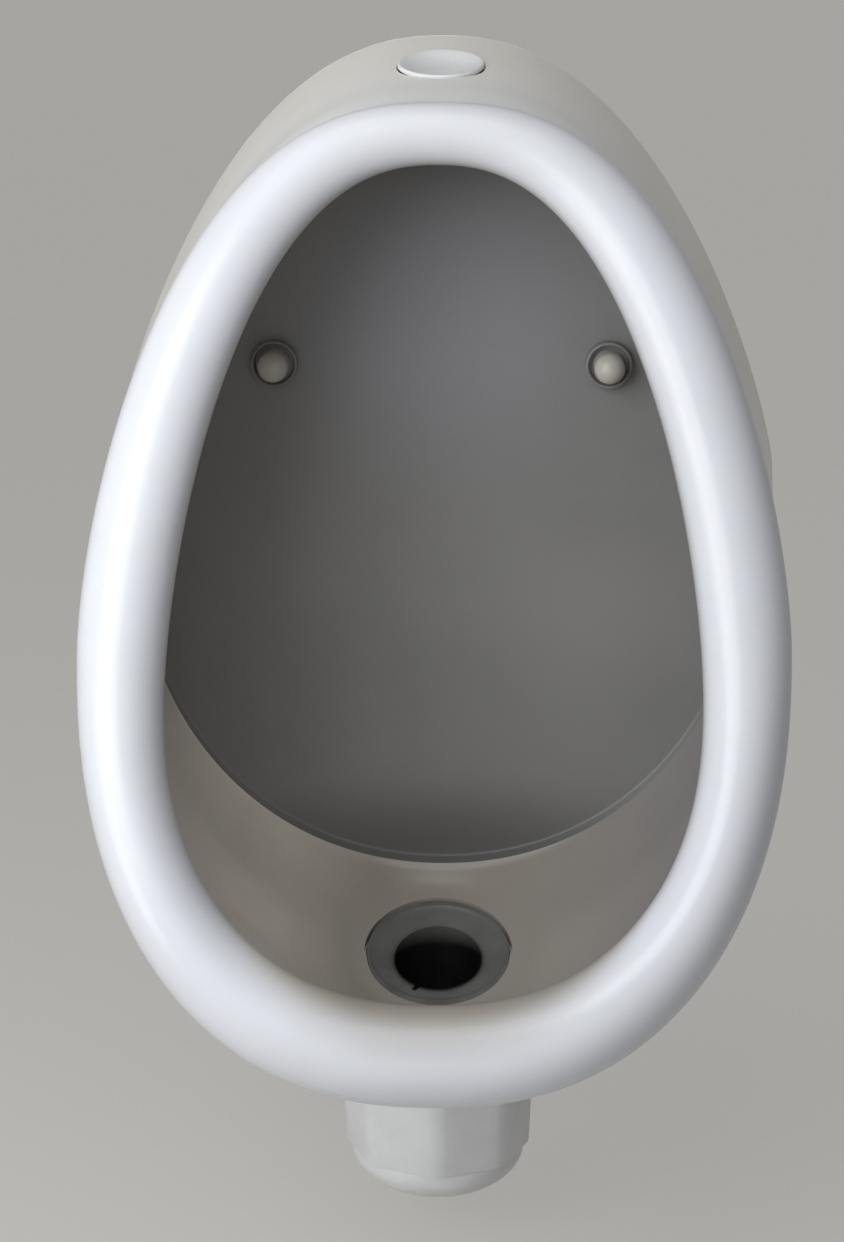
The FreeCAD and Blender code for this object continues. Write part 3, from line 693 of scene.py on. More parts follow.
def back_glaze():
    """Grey glaze darkened by painted shade, with painted light bluer under the hood, a painted reflection at the
    right, and painted shade at the foot and the top.
    """
    tints, corner_gloss = china(), 0.42

    def colour(tree, place):
        # The wall's grey glaze, darkened by painted shade, with a random cloud in its tone.
        grey = clouds(tree, place, rgba(tints.grey), rgba(tints.grey, 0.88), 9.0, 0.8)
        for tint, centre, reach, strength in (
                # Painted light: bluer and lighter under the hood.
                (tints.blue_painted_light, (0.0, -0.022, 0.03), (0.13, 0.3, 0.13), 0.9),
                # Painted reflection: a pale patch low at the right.
                (tints.pale_painted_reflection, (0.085, -0.022, -0.14), (0.09, 0.3, 0.07), 0.8),
                # Painted shade at the foot of the wall, where it meets the floor.
                (tints.dark_painted_shade, (0.0, -0.022, -0.285), (0.2, 0.3, 0.06), 1.0),
                # Painted shade at the top of the wall, under the hood.
                (tints.dark_painted_shade, (0.0, -0.022, 0.16), (0.12, 0.3, 0.08), 0.9)):
            grey = mixed(tree, soft_zone(tree, place, centre, reach, strength), grey, rgba(tint))
        return grey

    def corner(tree, place):
        edge = tints.back_thickness + tints.corner_round
        foot = across(tree, place, -tints.back_thickness, -edge + tints.corner_round / 2, "Y")
        return maths(tree, "MAXIMUM", foot, corner_gloss)
    return glaze("Back glaze", colour, corner)


def plastic(name, tint, roughness, wander=0.02):
    """Moulded plastic: a faint cloud in its colour, an uneven gloss and a fine moulded skin."""
    return finish(name, clouded(rgba(tint), rgba(tint, 0.94), 38.0, 1.0),
                  (roughness - wander, roughness + wander, 55.0), (45.0, 0.00018, 2600.0, 0.000006),
                  IOR=1.47)


def waste_plastic():
    """Grey plastic, with painted shade near black down in the waste's bore."""
    tint = fittings().flange
    bore_shade_drop, bore_shade_reach, bore_shade_edge = 0.022, (0.031, 0.031, 0.06), 30.0

    def colour(tree, place):
        grey = clouds(tree, place, rgba(tint), rgba(tint, 0.8), 60.0, 1.0)
        # Painted shade, near black, down in the bore.
        centre = waste_axis(BowlForm(china()).drain_z * MM - bore_shade_drop)
        bore_painted_shade = maths(tree, "MINIMUM", soft_zone(tree, place, centre, bore_shade_reach, bore_shade_edge), 1.0)
        return mixed(tree, bore_painted_shade, grey, rgba(fittings().bore_painted_shade))
    return finish("Waste plastic", colour, (0.36, 0.5, 90.0), (60.0, 0.00015, 2600.0, 0.000006),
                  IOR=1.47)


def rubber():
    """Soft matt rubber with a dusty bloom."""
    tint = fittings().rubber
    bloom = rgba([part * 1.8 + 0.01 for part in tint])
    return finish("Rubber", clouded(rgba(tint), bloom, 120.0, 0.8), (0.55, 0.8, 150.0),
                  (90.0, 0.0001, 3000.0, 0.00002), IOR=1.45)


def plated_steel():
    """Zinc plate: a spangled brightness and fine lines from rolling."""
    tint = fittings().steel
    return finish("Plated steel", clouded(rgba(tint), rgba(tint, 0.72), 260.0, 0.9),
                  (0.24, 0.46, 320.0), (300.0, 0.00003, 4000.0, 0.000006), Metallic=1.0)


# ---------------------------------------------------------------- china bowl
COLUMNS = 192
OUTSIDE_ROWS, ROLL_ROWS, INSIDE_ROWS, CORNER_STEPS = 34, 52, 48, 4
ROLL_TURNS = (0, 30, 60, 90, 120, 150, 180, 215, 250)
# Past these turns the roll's inner side takes the bowl's tint, with its painted shade.
TINTED = (150, 215)     # the turns of the roll between which the white ends
GLAZE, BACK_GLAZE = 0, 1


def inward(ring):
    """Unit directions in the upright plane that point inside an outline."""
    along = np.roll(ring, -1, 0) - np.roll(ring, 1, 0)
    side = np.stack([along[:, 2], np.zeros(len(ring)), -along[:, 0]], 1)
    side /= np.linalg.norm(side, axis=1)[:, None]
    centre = ring.mean(0)
    return side * np.sign(((centre - ring) * side).sum(1))[:, None]


def fillet_rings(ring, out, radius):
    """Rings that round the corner between a side wall and the flat face at depth out."""
    rings = []
    for k in range(CORNER_STEPS + 1):
        turn = math.pi / 2 * k / CORNER_STEPS
        move = inward(ring) * radius * (1 - math.cos(turn))
        step = ring + move
        step[:, 1] = -(out + radius * (1 - math.sin(turn)))
        rings.append(step)
    return rings


def bowl_rings():
    """Rings of points in mm from the wall face's edge, round the rim, to the bowl's back wall.

    Also gives the rows where the bowl's tint, with its painted shade, starts and where it is full."""
    form = BowlForm(china())
    outside = form.outside()
    lines = outside + [form.rim(turn) for turn in ROLL_TURNS] + form.inside()
    knots = np.array([line.ring(COLUMNS) for line in lines])
    gaps = np.linalg.norm(np.diff(knots, axis=0), axis=2).mean(1)
    marks = np.concatenate([[0], np.cumsum(gaps)])
    roll = marks[len(outside):len(outside) + len(ROLL_TURNS)]
    lip, turned_in = roll[0], roll[-1]
    edge, corner = china().edge_round / MM, china().corner_round / MM
    places = np.concatenate([np.linspace(edge, lip, OUTSIDE_ROWS, endpoint=False),
                             np.linspace(lip, turned_in, ROLL_ROWS, endpoint=False),
                             np.linspace(turned_in, marks[-1] - corner, INSIDE_ROWS)])
    flat = natural_curve(marks, knots.reshape(len(lines), -1), places)
    rings = list(flat.reshape(len(places), COLUMNS, 3))
    outer = fillet_rings(knots[0], 0.0, edge)[::-1]
    inner = fillet_rings(knots[-1], form.back, corner)
    first = len(outer) - 1 + OUTSIDE_ROWS
    start, end = (first + int(ROLL_ROWS * (roll[ROLL_TURNS.index(turn)] - lip) / (turned_in - lip))
                  for turn in TINTED)
    return outer[:-1] + rings + inner[1:], start, end


def eased(share):
    """A share held between 0 and 1, with a soft start and a soft end."""
    share = np.clip(share, 0, 1)
    return share * share * (3 - 2 * share)


def flatten_at_outlet(points):
    """Eases the bowl's floor into a plane round the waste flange."""
    flat_to, eased_by, deepest = 43.0, 17.0, 20
    form = BowlForm(china())
    centre = np.array([0, -form.drain_out, form.drain_z])
    normal = np.array(FLOOR_NORMAL)
    rise = (points - centre) @ normal
    reach = np.linalg.norm(points - centre - rise[:, None] * normal, axis=1)
    keep = eased((reach - flat_to) / eased_by)
    near = (np.abs(rise) < deepest) & (reach < flat_to + eased_by)
    return points - np.where(near, rise * (1 - keep), 0)[:, None] * normal


def bowl_shell():
    """A grid wrapped round the china's outlines, closed by a flat face at each end."""
    # Painted shade: low down, the bowl's darker tint starts sooner on the rim's inner roll.
    shade_foot, shade_foot_run, shade_foot_lead = 230, 60, 1.2
    rings, tint_start, tint_end = bowl_rings()
    deselect()
    bpy.ops.mesh.primitive_grid_add(x_subdivisions=COLUMNS, y_subdivisions=len(rings) - 1, size=2)
    obj = bpy.context.object
    mesh = obj.data
    points = np.array(rings)
    inside = points[tint_end:]
    points[tint_end:] = flatten_at_outlet(inside.reshape(-1, 3)).reshape(inside.shape)
    spots = np.empty(len(mesh.vertices) * 3)
    mesh.vertices.foreach_get("co", spots)
    spots = spots.reshape(-1, 3)
    column = np.rint((spots[:, 0] + 1) / 2 * COLUMNS).astype(int) % COLUMNS
    row = np.rint((spots[:, 1] + 1) / 2 * (len(rings) - 1)).astype(int)
    mesh.vertices.foreach_set("co", (points[row, column] * MM).ravel())
    for face in mesh.polygons:
        if min(row[v] for v in face.vertices) >= len(rings) - 1 - CORNER_STEPS:
            face.material_index = BACK_GLAZE
    for finish_of in (rim_and_bowl_glaze, back_glaze):
        obj.data.materials.append(finish_of())
    foot = np.clip((-points[:, :, 2] - shade_foot) / shade_foot_run, 0, 1)
    rows = np.arange(len(rings))[:, None] + shade_foot_lead * foot * (tint_end - tint_start)
    in_edit(obj, weld(), close_ends, outwards)
    return obj, points, eased((rows - tint_start) / (tint_end - tint_start))


def close_ends():
    """Fills the two open rings, the wall face in outer glaze and the bowl's back wall in its own."""
    fill_open_rings()
    mesh = bmesh.from_edit_mesh(bpy.context.object.data)
    for face in mesh.faces:
        if len(face.verts) > 4:
            bowl_side = face.calc_center_median().y < -china().back_thickness / 2
            face.material_index = BACK_GLAZE if bowl_side else GLAZE
    bmesh.update_edit_mesh(bpy.context.object.data)
    everything()


def outlet_tool():
    """The flange's seat with a soft lip, parallel to the floor, and the waste hole through it."""
    gap, seat_depth = 0.35, 7.0
    form = BowlForm(china())
    lip = china().lip_round / MM
    radius = form.flange_reach + gap
    section = [(0, -40), (radius, -40), (radius, -lip)] + arc((radius + lip, -lip), lip, 180, 90) \
        + [(radius + lip + 0.4, 0.2), (radius + lip + 0.4, 16), (0, 16)]
    centre = waste_axis(form.drain_z * MM)
    seat = turned("tool", section, centre, UP, 96)
    under = block((-0.2, -0.4, -0.6), (0.2, 0.2, 0))
    return combined(seat, on_floor(under, centre - FLOOR_NORMAL * seat_depth * MM))


def inlet_axis():
    return Vector(joint("plug_lift")["axis"]).normalized()


def inlet_tool():
    """The plug's seat in the hood, with a soft lip."""
    gap, edge = 0.3, -1.4
    lip = china().lip_round / MM
    radius = size("inlet_plug").x / 2 / MM + gap
    section = [(0, -3), (radius, -3), (radius, edge - lip)] \
        + arc((radius + lip, edge - lip), lip, 180, 90) + [(radius + lip, 12), (0, 12)]
    return turned("tool", section, inlet_seat_centre(), inlet_axis(), 96)


def inlet_seat_centre():
    """The same point the plug's seal is centred over, up on the hood's middle line."""
    low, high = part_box("inlet_plug_seal")
    axis = inlet_axis()
    return (low + high) / 2 + axis * (3.0 - 0.05 - 0.75) * MM


def relief_tool():
    """The hollow in the wall side, in two parts with a band at the fixing bolts."""
    form = BowlForm(china())
    land, depth, band = 24.0, 9.5, 44.0
    edge = Outline((0, form.top - land), (0, form.foot + land), form.half - land, form.back_widest,
                   (1.25, 2.25), 2.6).ring(96)
    deselect()
    bpy.ops.mesh.primitive_circle_add(vertices=96, radius=MM, fill_type="NGON")
    obj = bpy.context.object
    for vertex, (x, _, z) in zip(obj.data.vertices, edge):
        vertex.co = (x * MM, depth * MM, z * MM)
    in_edit(obj, lambda: bpy.ops.mesh.extrude_region_move(
        TRANSFORM_OT_translate={"value": (0, -2 * depth * MM, 0)}), everything, outwards)
    half = form.half * MM
    combined(obj, block((-half, -0.03, -band / 2 * MM), (half, 0.03, band / 2 * MM)))
    return rounded(obj, 0.003, 3, 60)


def tint_inside(bowl, points, share):
    """Stores how far each point has turned in from the white rim to the bowl's tint, which carries painted shade.
    """
    tree = KDTree(points.shape[0] * points.shape[1])
    for index, point in enumerate(points.reshape(-1, 3) * MM):
        tree.insert(point, index)
    tree.balance()
    store = bowl.data.attributes.new("turned_in", "FLOAT", "POINT")
    nearest = [tree.find(vertex.co)[1] for vertex in bowl.data.vertices]
    store.data.foreach_set("value", share.ravel()[nearest])


class URINAL_OT_bowl(bpy.types.Operator):
    """Model the china bowl"""
    bl_idname = "urinal.bowl"
    bl_label = "China bowl"

    def execute(self, context):
        bowl, points, share = bowl_shell()
        seal_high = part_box("lower_seal")[1]
        boss_round, boss_radius = 2, 46.6
        flat = boss_radius - boss_round
        boss = turned("tool", [(0, 0), (flat, 0)] + arc((flat, boss_round), boss_round, -90, 0)
                      + [(boss_radius, 12), (0, 12)], waste_axis(seal_high.z))
        combined(bowl, boss, "UNION")
        combined(bowl, outlet_tool())
        combined(bowl, rod(28.6, 40, waste_axis(seal_high.z - 0.001)))
        combined(bowl, inlet_tool())
        combined(bowl, rod(19.5, 40, inlet_seat_centre() - inlet_axis() * 0.03, inlet_axis()))
        combined(bowl, relief_tool())
        for side in (-1, 1):
            combined(bowl, rod(7, 40, Vector((side * fixing(0).x, 0.005, 0)), FORWARD, 48))
        smooth(mended(bowl), 40)
        tint_inside(bowl, points, share)
        stands_for(bowl, "ceramic_body")
        return {"FINISHED"}


# ---------------------------------------------------------------- inlet plug
class URINAL_OT_inlet(bpy.types.Operator):
    """Model the dished plug in the hood"""
    bl_idname = "urinal.inlet"
    bl_label = "Inlet plug"

    def execute(self, context):
        rim, land, dish = 23.0, 1.6, 4.0
        top, skirt, bore = 2.5, 18.85, 17.25
        bowl = [(0, top - dish), (6, top - dish + 0.15), (12, top - dish + 0.9),
                (16.5, top - dish + 2.1), (19.6, top - dish + 3.3), (rim - land, top - 0.1)]
        section = bowl + arc((rim - 1.0, top - 1.0), 1.0, 90, 0) + [(rim, 0.4), (rim - 0.4, 0),
                                                                   (skirt, 0), (skirt, -11)]
        section += [(skirt + 0.6, -12), (skirt + 0.6, -13), (skirt, -14), (bore, -14),
                    (bore, -3.7), (0, -3.7)]
        base = inlet_seat_centre() - inlet_axis() * (3.0 - 1.5 - 0.05) * MM
        plug = turned("plug", section, base, inlet_axis(), 96)
        for k in range(4):
            turn = Matrix.Rotation(math.pi / 4 * (2 * k + 1), 4, "Z")
            slot = block((-0.0012, 0.012, -0.0145), (0.0012, 0.022, -0.0045))
            slot.data.transform(turn)
            combined(plug, turned_towards(slot, base, inlet_axis()))
        finished(plug, 35, plastic("plug plastic", fittings().plastic, 0.30), "inlet_plug")
        return {"FINISHED"}


# ---------------------------------------------------------------- wall fixings
def fixing(out):
    """The point on the right fixing's axis that stands out mm in front of the wall."""
    return Vector((middle("right_cover_cap").x, -out * MM, 0))


def threaded_rod(radius, length, pitch, depth, base, axis, steps=32, rows_per_turn=8):
    """A rod whose skin follows a screw thread, in mm, made from a wrapped grid."""
    rows = int(length / pitch * rows_per_turn)
    deselect()
    bpy.ops.mesh.primitive_grid_add(x_subdivisions=steps, y_subdivisions=rows, size=2)
    obj = bpy.context.object
    for vertex in obj.data.vertices:
        turn = (vertex.co.x + 1) / 2
        height = (vertex.co.y + 1) / 2 * length
        phase = (height / pitch - turn) % 1
        fade = min(1.0, height / pitch, (length - height) / pitch)
        reach = radius - depth * (1 - abs(2 * phase - 1)) - 0.4 * depth * (1 - fade)
        angle = 2 * math.pi * turn
        vertex.co = (reach * math.cos(angle) * MM, reach * math.sin(angle) * MM, height * MM)
    in_edit(obj, weld(), fill_open_rings, everything, outwards)
    return turned_towards(obj, base, axis)


class URINAL_OT_fixings(bpy.types.Operator):
    """Model the hanger bolts, their nuts, the plastic cups and the cover caps"""
    bl_idname = "urinal.fixings"
    bl_label = "Wall fixings"

    def execute(self, context):
        self.bolts()
        self.nuts()
        self.cups()
        self.caps()
        return {"FINISHED"}

    def bolts(self):
        """Machine thread through the china and a wood thread with a point."""
        nut_end = -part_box("hanger_bolts")[0].y / MM
        screw = threaded_rod(5.0, 44.0, 3.2, 0.9, fixing(0.0), INTO_WALL)
        point = turned("point", [(0, 0), (4.4, 0), (3.4, 2.5), (1.5, 6), (0, 6)], fixing(-44.0),
                       INTO_WALL, 32)
        shank = threaded_rod(4.0, nut_end - 1.0, 1.25, 0.45, fixing(0.5), FORWARD)
        end = turned("end", [(0, 0), (3.7, 0), (3.3, 1.0), (0, 1.0)], fixing(nut_end - 1.0), FORWARD, 32)
        bolts = pair(joined("bolt", screw, point, shank, end), "bolts")
        finished(bolts, 35, plated_steel(), "hanger_bolts")

    def nuts(self):
        deselect()
        bpy.ops.mesh.primitive_cylinder_add(vertices=6, radius=13 / math.sqrt(3) * MM, depth=6.5 * MM,
                                            location=(0, 0, 3.25 * MM), rotation=(0, 0, math.pi / 6))
        nut = settle(bpy.context.object)
        dome = turned("tool", [(0, -1), (6.6, -1), (6.6, 0), (7.6, 0.6), (7.6, 5.9), (6.6, 6.5),
                               (6.6, 8), (0, 8)], Vector(), UP, 48)
        combined(nut, dome, "INTERSECT")
        combined(nut, rod(3.95, 9, Vector((0, 0, -0.001)), UP, 32))
        washer_face = -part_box("hex_nuts")[1].y / MM
        nut = turned_towards(nut, fixing(washer_face), FORWARD)
        finished(pair(nut, "nuts"), 30, plated_steel(), "hex_nuts")

    def cups(self):
        """A plastic cup with a rolled lip, open to the front round the cap."""
        section = [(4.3, 0), (12.6, 0), (13.0, 0.5), (13.0, 5.6)] + arc((12.05, 6.05), 0.95, 0, 180, 8) \
            + [(11.0, 5.4), (10.9, 2.5), (10.5, 2.0), (4.3, 2.0)]
        face = -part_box("cup_washers")[1].y / MM
        cup = turned("cup", section, fixing(face), FORWARD, 64)
        finished(pair(cup, "cups"), 40, plastic("cup plastic", fittings().cup, 0.34, 0.03),
                 "cup_washers")

    def caps(self):
        """Domed covers, hollow and open at the wall side."""
        low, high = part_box("right_cover_cap")
        radius = (high.x - low.x) / 2 / MM
        tall = (high.y - low.y) / MM
        straight = tall - radius
        wall = 0.9
        outer = [(radius, 0.25), (radius, straight)] + arc((0, straight), radius, 0, 90, 14)[1:]
        inner = arc((0, straight), radius - wall, 90, 0, 12) + [(radius - wall, 0)]
        section = outer + inner + [(radius - 0.25, 0)]
        cap = turned("cap", section, Vector(((low.x + high.x) / 2, high.y, 0)), FORWARD, 64)
        smooth(cap, 40)
        # The caps' plastic carries painted shade.
        cap.data.materials.append(plastic("cap plastic", fittings().cap, 0.22, 0.03))
        twin = mirrored(cap, "left")
        stands_for(cap, "right_cover_cap")
        stands_for(twin, "left_cover_cap")


# ---------------------------------------------------------------- waste fitting
class URINAL_OT_waste(bpy.types.Operator):
    """Model the dished waste flange, its threaded body and tail, and its backnut"""
    bl_idname = "urinal.waste"
    bl_label = "Waste fitting"

    def execute(self, context):
        self.outlet()
        self.backnut()
        return {"FINISHED"}

    def outlet(self):
        """The ring lies parallel to the floor; the body under it hangs plumb."""
        sunk, ring_thick, notch_turn = 0.2, 5.5, -math.radians(24)
        level = BowlForm(china()).drain_z
        centre = waste_axis(level * MM)
        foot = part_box("waste_outlet")[0].z / MM
        thread_foot = foot + 24.0
        body = turned("body", [(0, foot), (19.3, foot), (20.0, foot + 0.7), (20.0, thread_foot),
                               (27.2, thread_foot), (28.0, thread_foot + 0.8), (28.0, level - 19),
                               (39.3, level - 19), (40.0, level - 18), (40.0, level + 20),
                               (0, level + 20)], waste_axis(), UP, 96)
        top = block((-0.1, -0.1, 0), (0.1, 0.1, 0.1))
        combined(body, on_floor(top, centre - FLOOR_NORMAL * sunk * MM))
        collar = turned("tool", [(28.0, -60), (60, -60), (60, 0), (28.0, 0)], Vector(), UP, 96)
        under = block((-0.09, -0.09, -0.09), (0.09, 0.09, 0))
        collar.data.transform(Matrix.Translation(Vector((0, 0, 0.04))))
        on_floor(under, Vector((0, 0, 0.02)) - FLOOR_NORMAL * ring_thick * MM)
        combined(collar, under, "INTERSECT")
        collar.data.transform(Matrix.Translation(centre - Vector((0, 0, 0.02))))
        combined(body, collar)
        way = turned("tool", [(0, foot - 2), (18, foot - 2), (18, thread_foot),
                              (24.5, thread_foot + 5), (24.5, level + 30), (0, level + 30)],
                     waste_axis(), UP, 96)
        combined(body, way)
        dish = turned("tool", [(0, -6.3), (17, -6.3), (22.7, -4.2), (27, -3.0), (31, -2.1),
                               (35.5, -1.25), (38.3, -0.75), (39.0, -0.1), (39.0, 6), (0, 6)],
                      centre, FLOOR_NORMAL, 90)
        combined(body, dish)
        notch = block((-1.5 * MM, -32.5 * MM, -5.2 * MM), (1.5 * MM, 0, 3 * MM))
        in_edit(notch, lambda: bpy.ops.mesh.bevel(offset=1.1 * MM, segments=3, affect="EDGES"))
        combined(body, on_floor(notch, centre, notch_turn))
        finished(mended(body), 35, waste_plastic(), "waste_outlet")

    def backnut(self):
        low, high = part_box("waste_backnut")
        nut = lugged("backnut", 39.0, 28.0, (high.z - low.z) / MM, waste_axis(low.z), UP)
        nut.data.materials.append(plastic("nut plastic", fittings().plastic, 0.32))
        stands_for(nut, "waste_backnut")


def lugged(name, radius, bore, height, base, axis, shoulder=None, lugs=8):
    """A hand nut in mm: soft scoops between its grips and, if asked, a shoulder with a smaller bore."""
    edge, flank, scooped = 1.2, 1.3, 0.085
    section = [(bore, height), (bore, 0), (radius - edge, 0)] \
        + arc((radius - edge, edge), edge, -90, 0, 3)[1:] \
        + arc((radius - edge, height - edge), edge, 0, 90, 3)
    if shoulder:
        passing, thick = shoulder
        section = [(bore, height), (bore, thick), (passing, thick), (passing, 0)] + section[2:]
    nut = turned("nut", section, Vector(), UP, lugs * 18)
    scoop = radius * scooped
    for vertex in nut.data.vertices:
        reach = Vector(vertex.co.xy).length
        if reach > (radius - flank) * MM:
            angle = math.atan2(vertex.co.y, vertex.co.x)
            wave = 0.5 - 0.5 * math.cos(lugs * angle)
            vertex.co.xy *= 1 - scoop / radius * wave ** 3
    smooth(nut, 38)
    nut.name = name
    return turned_towards(nut, base, axis)


# ---------------------------------------------------------------- bottle trap
class URINAL_OT_trap(bpy.types.Operator):
    """Model the faceted trap, its nuts and its cleaning base"""
    bl_idname = "urinal.trap"
    bl_label = "Bottle trap"

    def execute(self, context):
        self.body()
        self.base()
        self.nuts()
        return {"FINISHED"}

    def body(self):
        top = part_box("trap_union_nut")[0].z / MM - 0.5
        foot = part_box("base_seal_ring")[1].z / MM + 0.05
        across_foot, across_top, sides = 99.0, 103.0, 8
        deselect()
        bpy.ops.mesh.primitive_cylinder_add(vertices=sides, radius=1, depth=1)
        body = settle(bpy.context.object)
        for vertex in body.data.vertices:
            upper = vertex.co.z > 0
            reach = (across_top if upper else across_foot) / 2 / math.cos(math.pi / sides)
            turn = math.atan2(vertex.co.y, vertex.co.x) + math.pi / 2
            turn = round(turn / (2 * math.pi / sides)) * 2 * math.pi / sides - math.pi / 2
            vertex.co = (reach * math.cos(turn) * MM, reach * math.sin(turn) * MM,
                         (top if upper else foot) * MM)
        for test, width, segments in (
                (lambda a, b: abs(a.z - b.z) > 0.01, 6.4, 8),
                (lambda a, b: min(a.z, b.z) > (top - 0.1) * MM, 3.0, 4),
                (lambda a, b: max(a.z, b.z) < (foot + 0.1) * MM, 0.8, 2)):
            select_edges(body, test)
            edit_bevel(body, width * MM, segments)
        neck_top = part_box("trap_union_nut")[1].z / MM - 3.5
        neck = rod(29, neck_top - top + 1, Vector((0, 0, (top - 1) * MM)), UP, 96)
        combined(body, neck, "UNION")
        pipe_low, pipe_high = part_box("outlet_pipe")
        axis_z = (pipe_low.z + pipe_high.z) / 2
        spigot = rod(23.4, 67, Vector((0, 0, axis_z)), INTO_WALL, 64)
        combined(body, spigot, "UNION")
        thread_top = foot + 13
        hollow = turned("tool", [(0, foot - 1), (44.1, foot - 1), (44.1, thread_top),
                                 (46.0, thread_top), (46.0, top - 3.5), (23.3, top - 3.5), (23.3, top),
                                 (25.5, top), (25.5, neck_top + 1), (0, neck_top + 1)],
                        Vector(), UP, 96)
        combined(body, hollow)
        socket = turned("tool", [(0, 0), (18.1, 0), (18.1, 57), (20.0, 57), (20.0, 63), (22.2, 67),
                                 (22.2, 68), (0, 68)], Vector((0, 0, axis_z)), INTO_WALL, 64)
        combined(body, socket)
        body.data.transform(Matrix.Translation(waste_axis()))
        finished(body, 28, plastic("trap plastic", fittings().plastic, 0.30), "trap_body")

    def base(self):
        """A round dish with a screw ring that has three ridges."""
        low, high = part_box("trap_base")
        radius, tall, ring = 49.0, 26.45, (high.z - low.z) / MM
        outer = dished(5.0, radius, 0.0, 24.6, 22) \
            + [(radius, tall - 0.6), (radius - 0.6, tall), (47.0, tall), (47.0, tall - 1.5),
               (44.0, tall - 1.5)]
        thread = []
        for k in range(3):
            start = tall + 0.6 + 4 * k * 0.9
            thread += [(43.2, start), (44.0, start + 0.8), (44.0, start + 1.6), (43.2, start + 2.4)]
        inner = [(43.4, ring), (41.4, ring), (41.0, ring - 0.4)] \
            + dished(0.0, 41.0, 3.0, 24.6, 16)[::-1]
        base = turned("base", outer + thread + inner, waste_axis(low.z), UP, 144)
        finished(base, 30, plastic("base plastic", fittings().plastic, 0.30), "trap_base")

    def nuts(self):
        low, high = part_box("trap_union_nut")
        union = lugged("union nut", 33.5, 29.0, (high.z - low.z) / MM, waste_axis(high.z), DOWN,
                       (20.2, 2.5))
        white = plastic("nut plastic", fittings().plastic, 0.32)
        union.data.materials.append(white)
        stands_for(union, "trap_union_nut")
        low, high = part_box("outlet_nut")
        centre = Vector((0, high.y, (low.z + high.z) / 2))
        outlet = lugged("outlet nut", 27.9, 23.4, (high.y - low.y) / MM, centre, FORWARD,
                        (20.2, 2.5))
        outlet.data.materials.append(white)
        stands_for(outlet, "outlet_nut")


def select_edges(obj, test):
    """Selects the edges whose two ends pass a test, and nothing else."""
    in_edit(obj, lambda: bpy.ops.mesh.select_mode(type="EDGE"), select="DESELECT")
    for edge in obj.data.edges:
        a, b = (obj.data.vertices[v].co for v in edge.vertices)
        edge.select = test(a, b)


def edit_bevel(obj, width, segments):
    activate(obj)
    bpy.ops.object.mode_set(mode="EDIT")
    bpy.ops.mesh.bevel(offset=width, segments=segments, affect="EDGES", profile=0.5)
    bpy.ops.object.mode_set(mode="OBJECT")


# ---------------------------------------------------------------- pipe and cover plate
class URINAL_OT_pipe(bpy.types.Operator):
    """Model the outlet pipe and its cover plate at the wall"""
    bl_idname = "urinal.pipe"
    bl_label = "Outlet pipe"

    def execute(self, context):
        low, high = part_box("outlet_pipe")
        centre = Vector((0, low.y, (low.z + high.z) / 2))
        run = (high.y - low.y) / MM
        wall_at = -low.y / MM
        section = [(18.1, 0), (20.0, 0), (20.0, wall_at - 1.5), (19.6, wall_at - 1.3),
                   (19.6, wall_at - 0.2), (20.0, wall_at), (20.0, run - 2.0), (19.0, run), (18.1, run)]
        pipe = turned("pipe", section, centre, INTO_WALL, 64)
        finished(pipe, 30, plastic("pipe plastic", fittings().plastic, 0.36), "outlet_pipe")
        low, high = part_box("wall_rosette")
        dome = [(41.0, 0), (41.0, 0.7)] + arc((40.3, 0.9), 0.7, 0, 80, 4)[1:] \
            + [(37, 2.2), (33, 3.2), (29, 4.3), (25.5, 5.4)] + arc((24.55, 7.4), 2.0, -90, -180, 5) \
            + [(22.55, 8.1), (22.2, 8.5), (20.05, 8.5), (20.05, 4.8), (24, 4.2), (29, 3.1), (35, 1.5),
               (39.8, 0)]
        plate = turned("plate", dome, Vector((0, high.y, centre.z)), FORWARD, 96)
        finished(plate, 35, plastic("plate plastic", fittings().plastic, 0.28), "wall_rosette")
        return {"FINISHED"}


# ---------------------------------------------------------------- seals and other hidden pieces
class URINAL_OT_seals(bpy.types.Operator):
    """Give the seals, sleeves, washers and dip tube, whose solids stay, their finishes"""
    bl_idname = "urinal.seals"
    bl_label = "Seals and hidden pieces"

    def execute(self, context):
        dark = rubber()
        pale = plastic("natural plastic", fittings().natural, 0.45, 0.05)
        dressed = dict.fromkeys(("waste_flange_seal", "lower_seal", "trap_cone_seal", "outlet_cone_seal",
                                 "inlet_plug_seal", "base_seal_ring"), dark)
        dressed |= {"slip_washer": pale, "fixing_sleeves": pale,
                    "dip_tube": plastic("tube plastic", fittings().plastic, 0.34, 0.03),
                    "steel_washers": plated_steel()}
        for node, made in dressed.items():
            obj = frame["nodes"][node]
            for place in range(len(obj.data.materials)):
                obj.data.materials[place] = made
        return {"FINISHED"}


# ---------------------------------------------------------------- stage
# Each lamp: degrees to the left of the front, degrees above the level, distance and width in m.
LAMPS = {"Key": (35, 27, 0.9, 0.65), "Front": (0, 12, 2.5, 2.5), "Top": (25, 62, 1.2, 1.0),
         "Low": (52, 0, 1.2, 0.7)}
LAMP_AIM = Vector((0, -0.15, -0.13))
CAMERA_AIM, CAMERA_SIDE = Vector((-0.006, -0.2, -0.1003)), 0.029
FLOOR_SIZE, FLOOR_DROP, FLOOR_GLOW, SKY_SHOWN = 40, 0.03, 0.55, 0.68


def looking(obj, aim):
    """Turns a lamp or a camera towards a point."""
    obj.rotation_euler = (aim - obj.location).to_track_quat("-Z", "Y").to_euler()


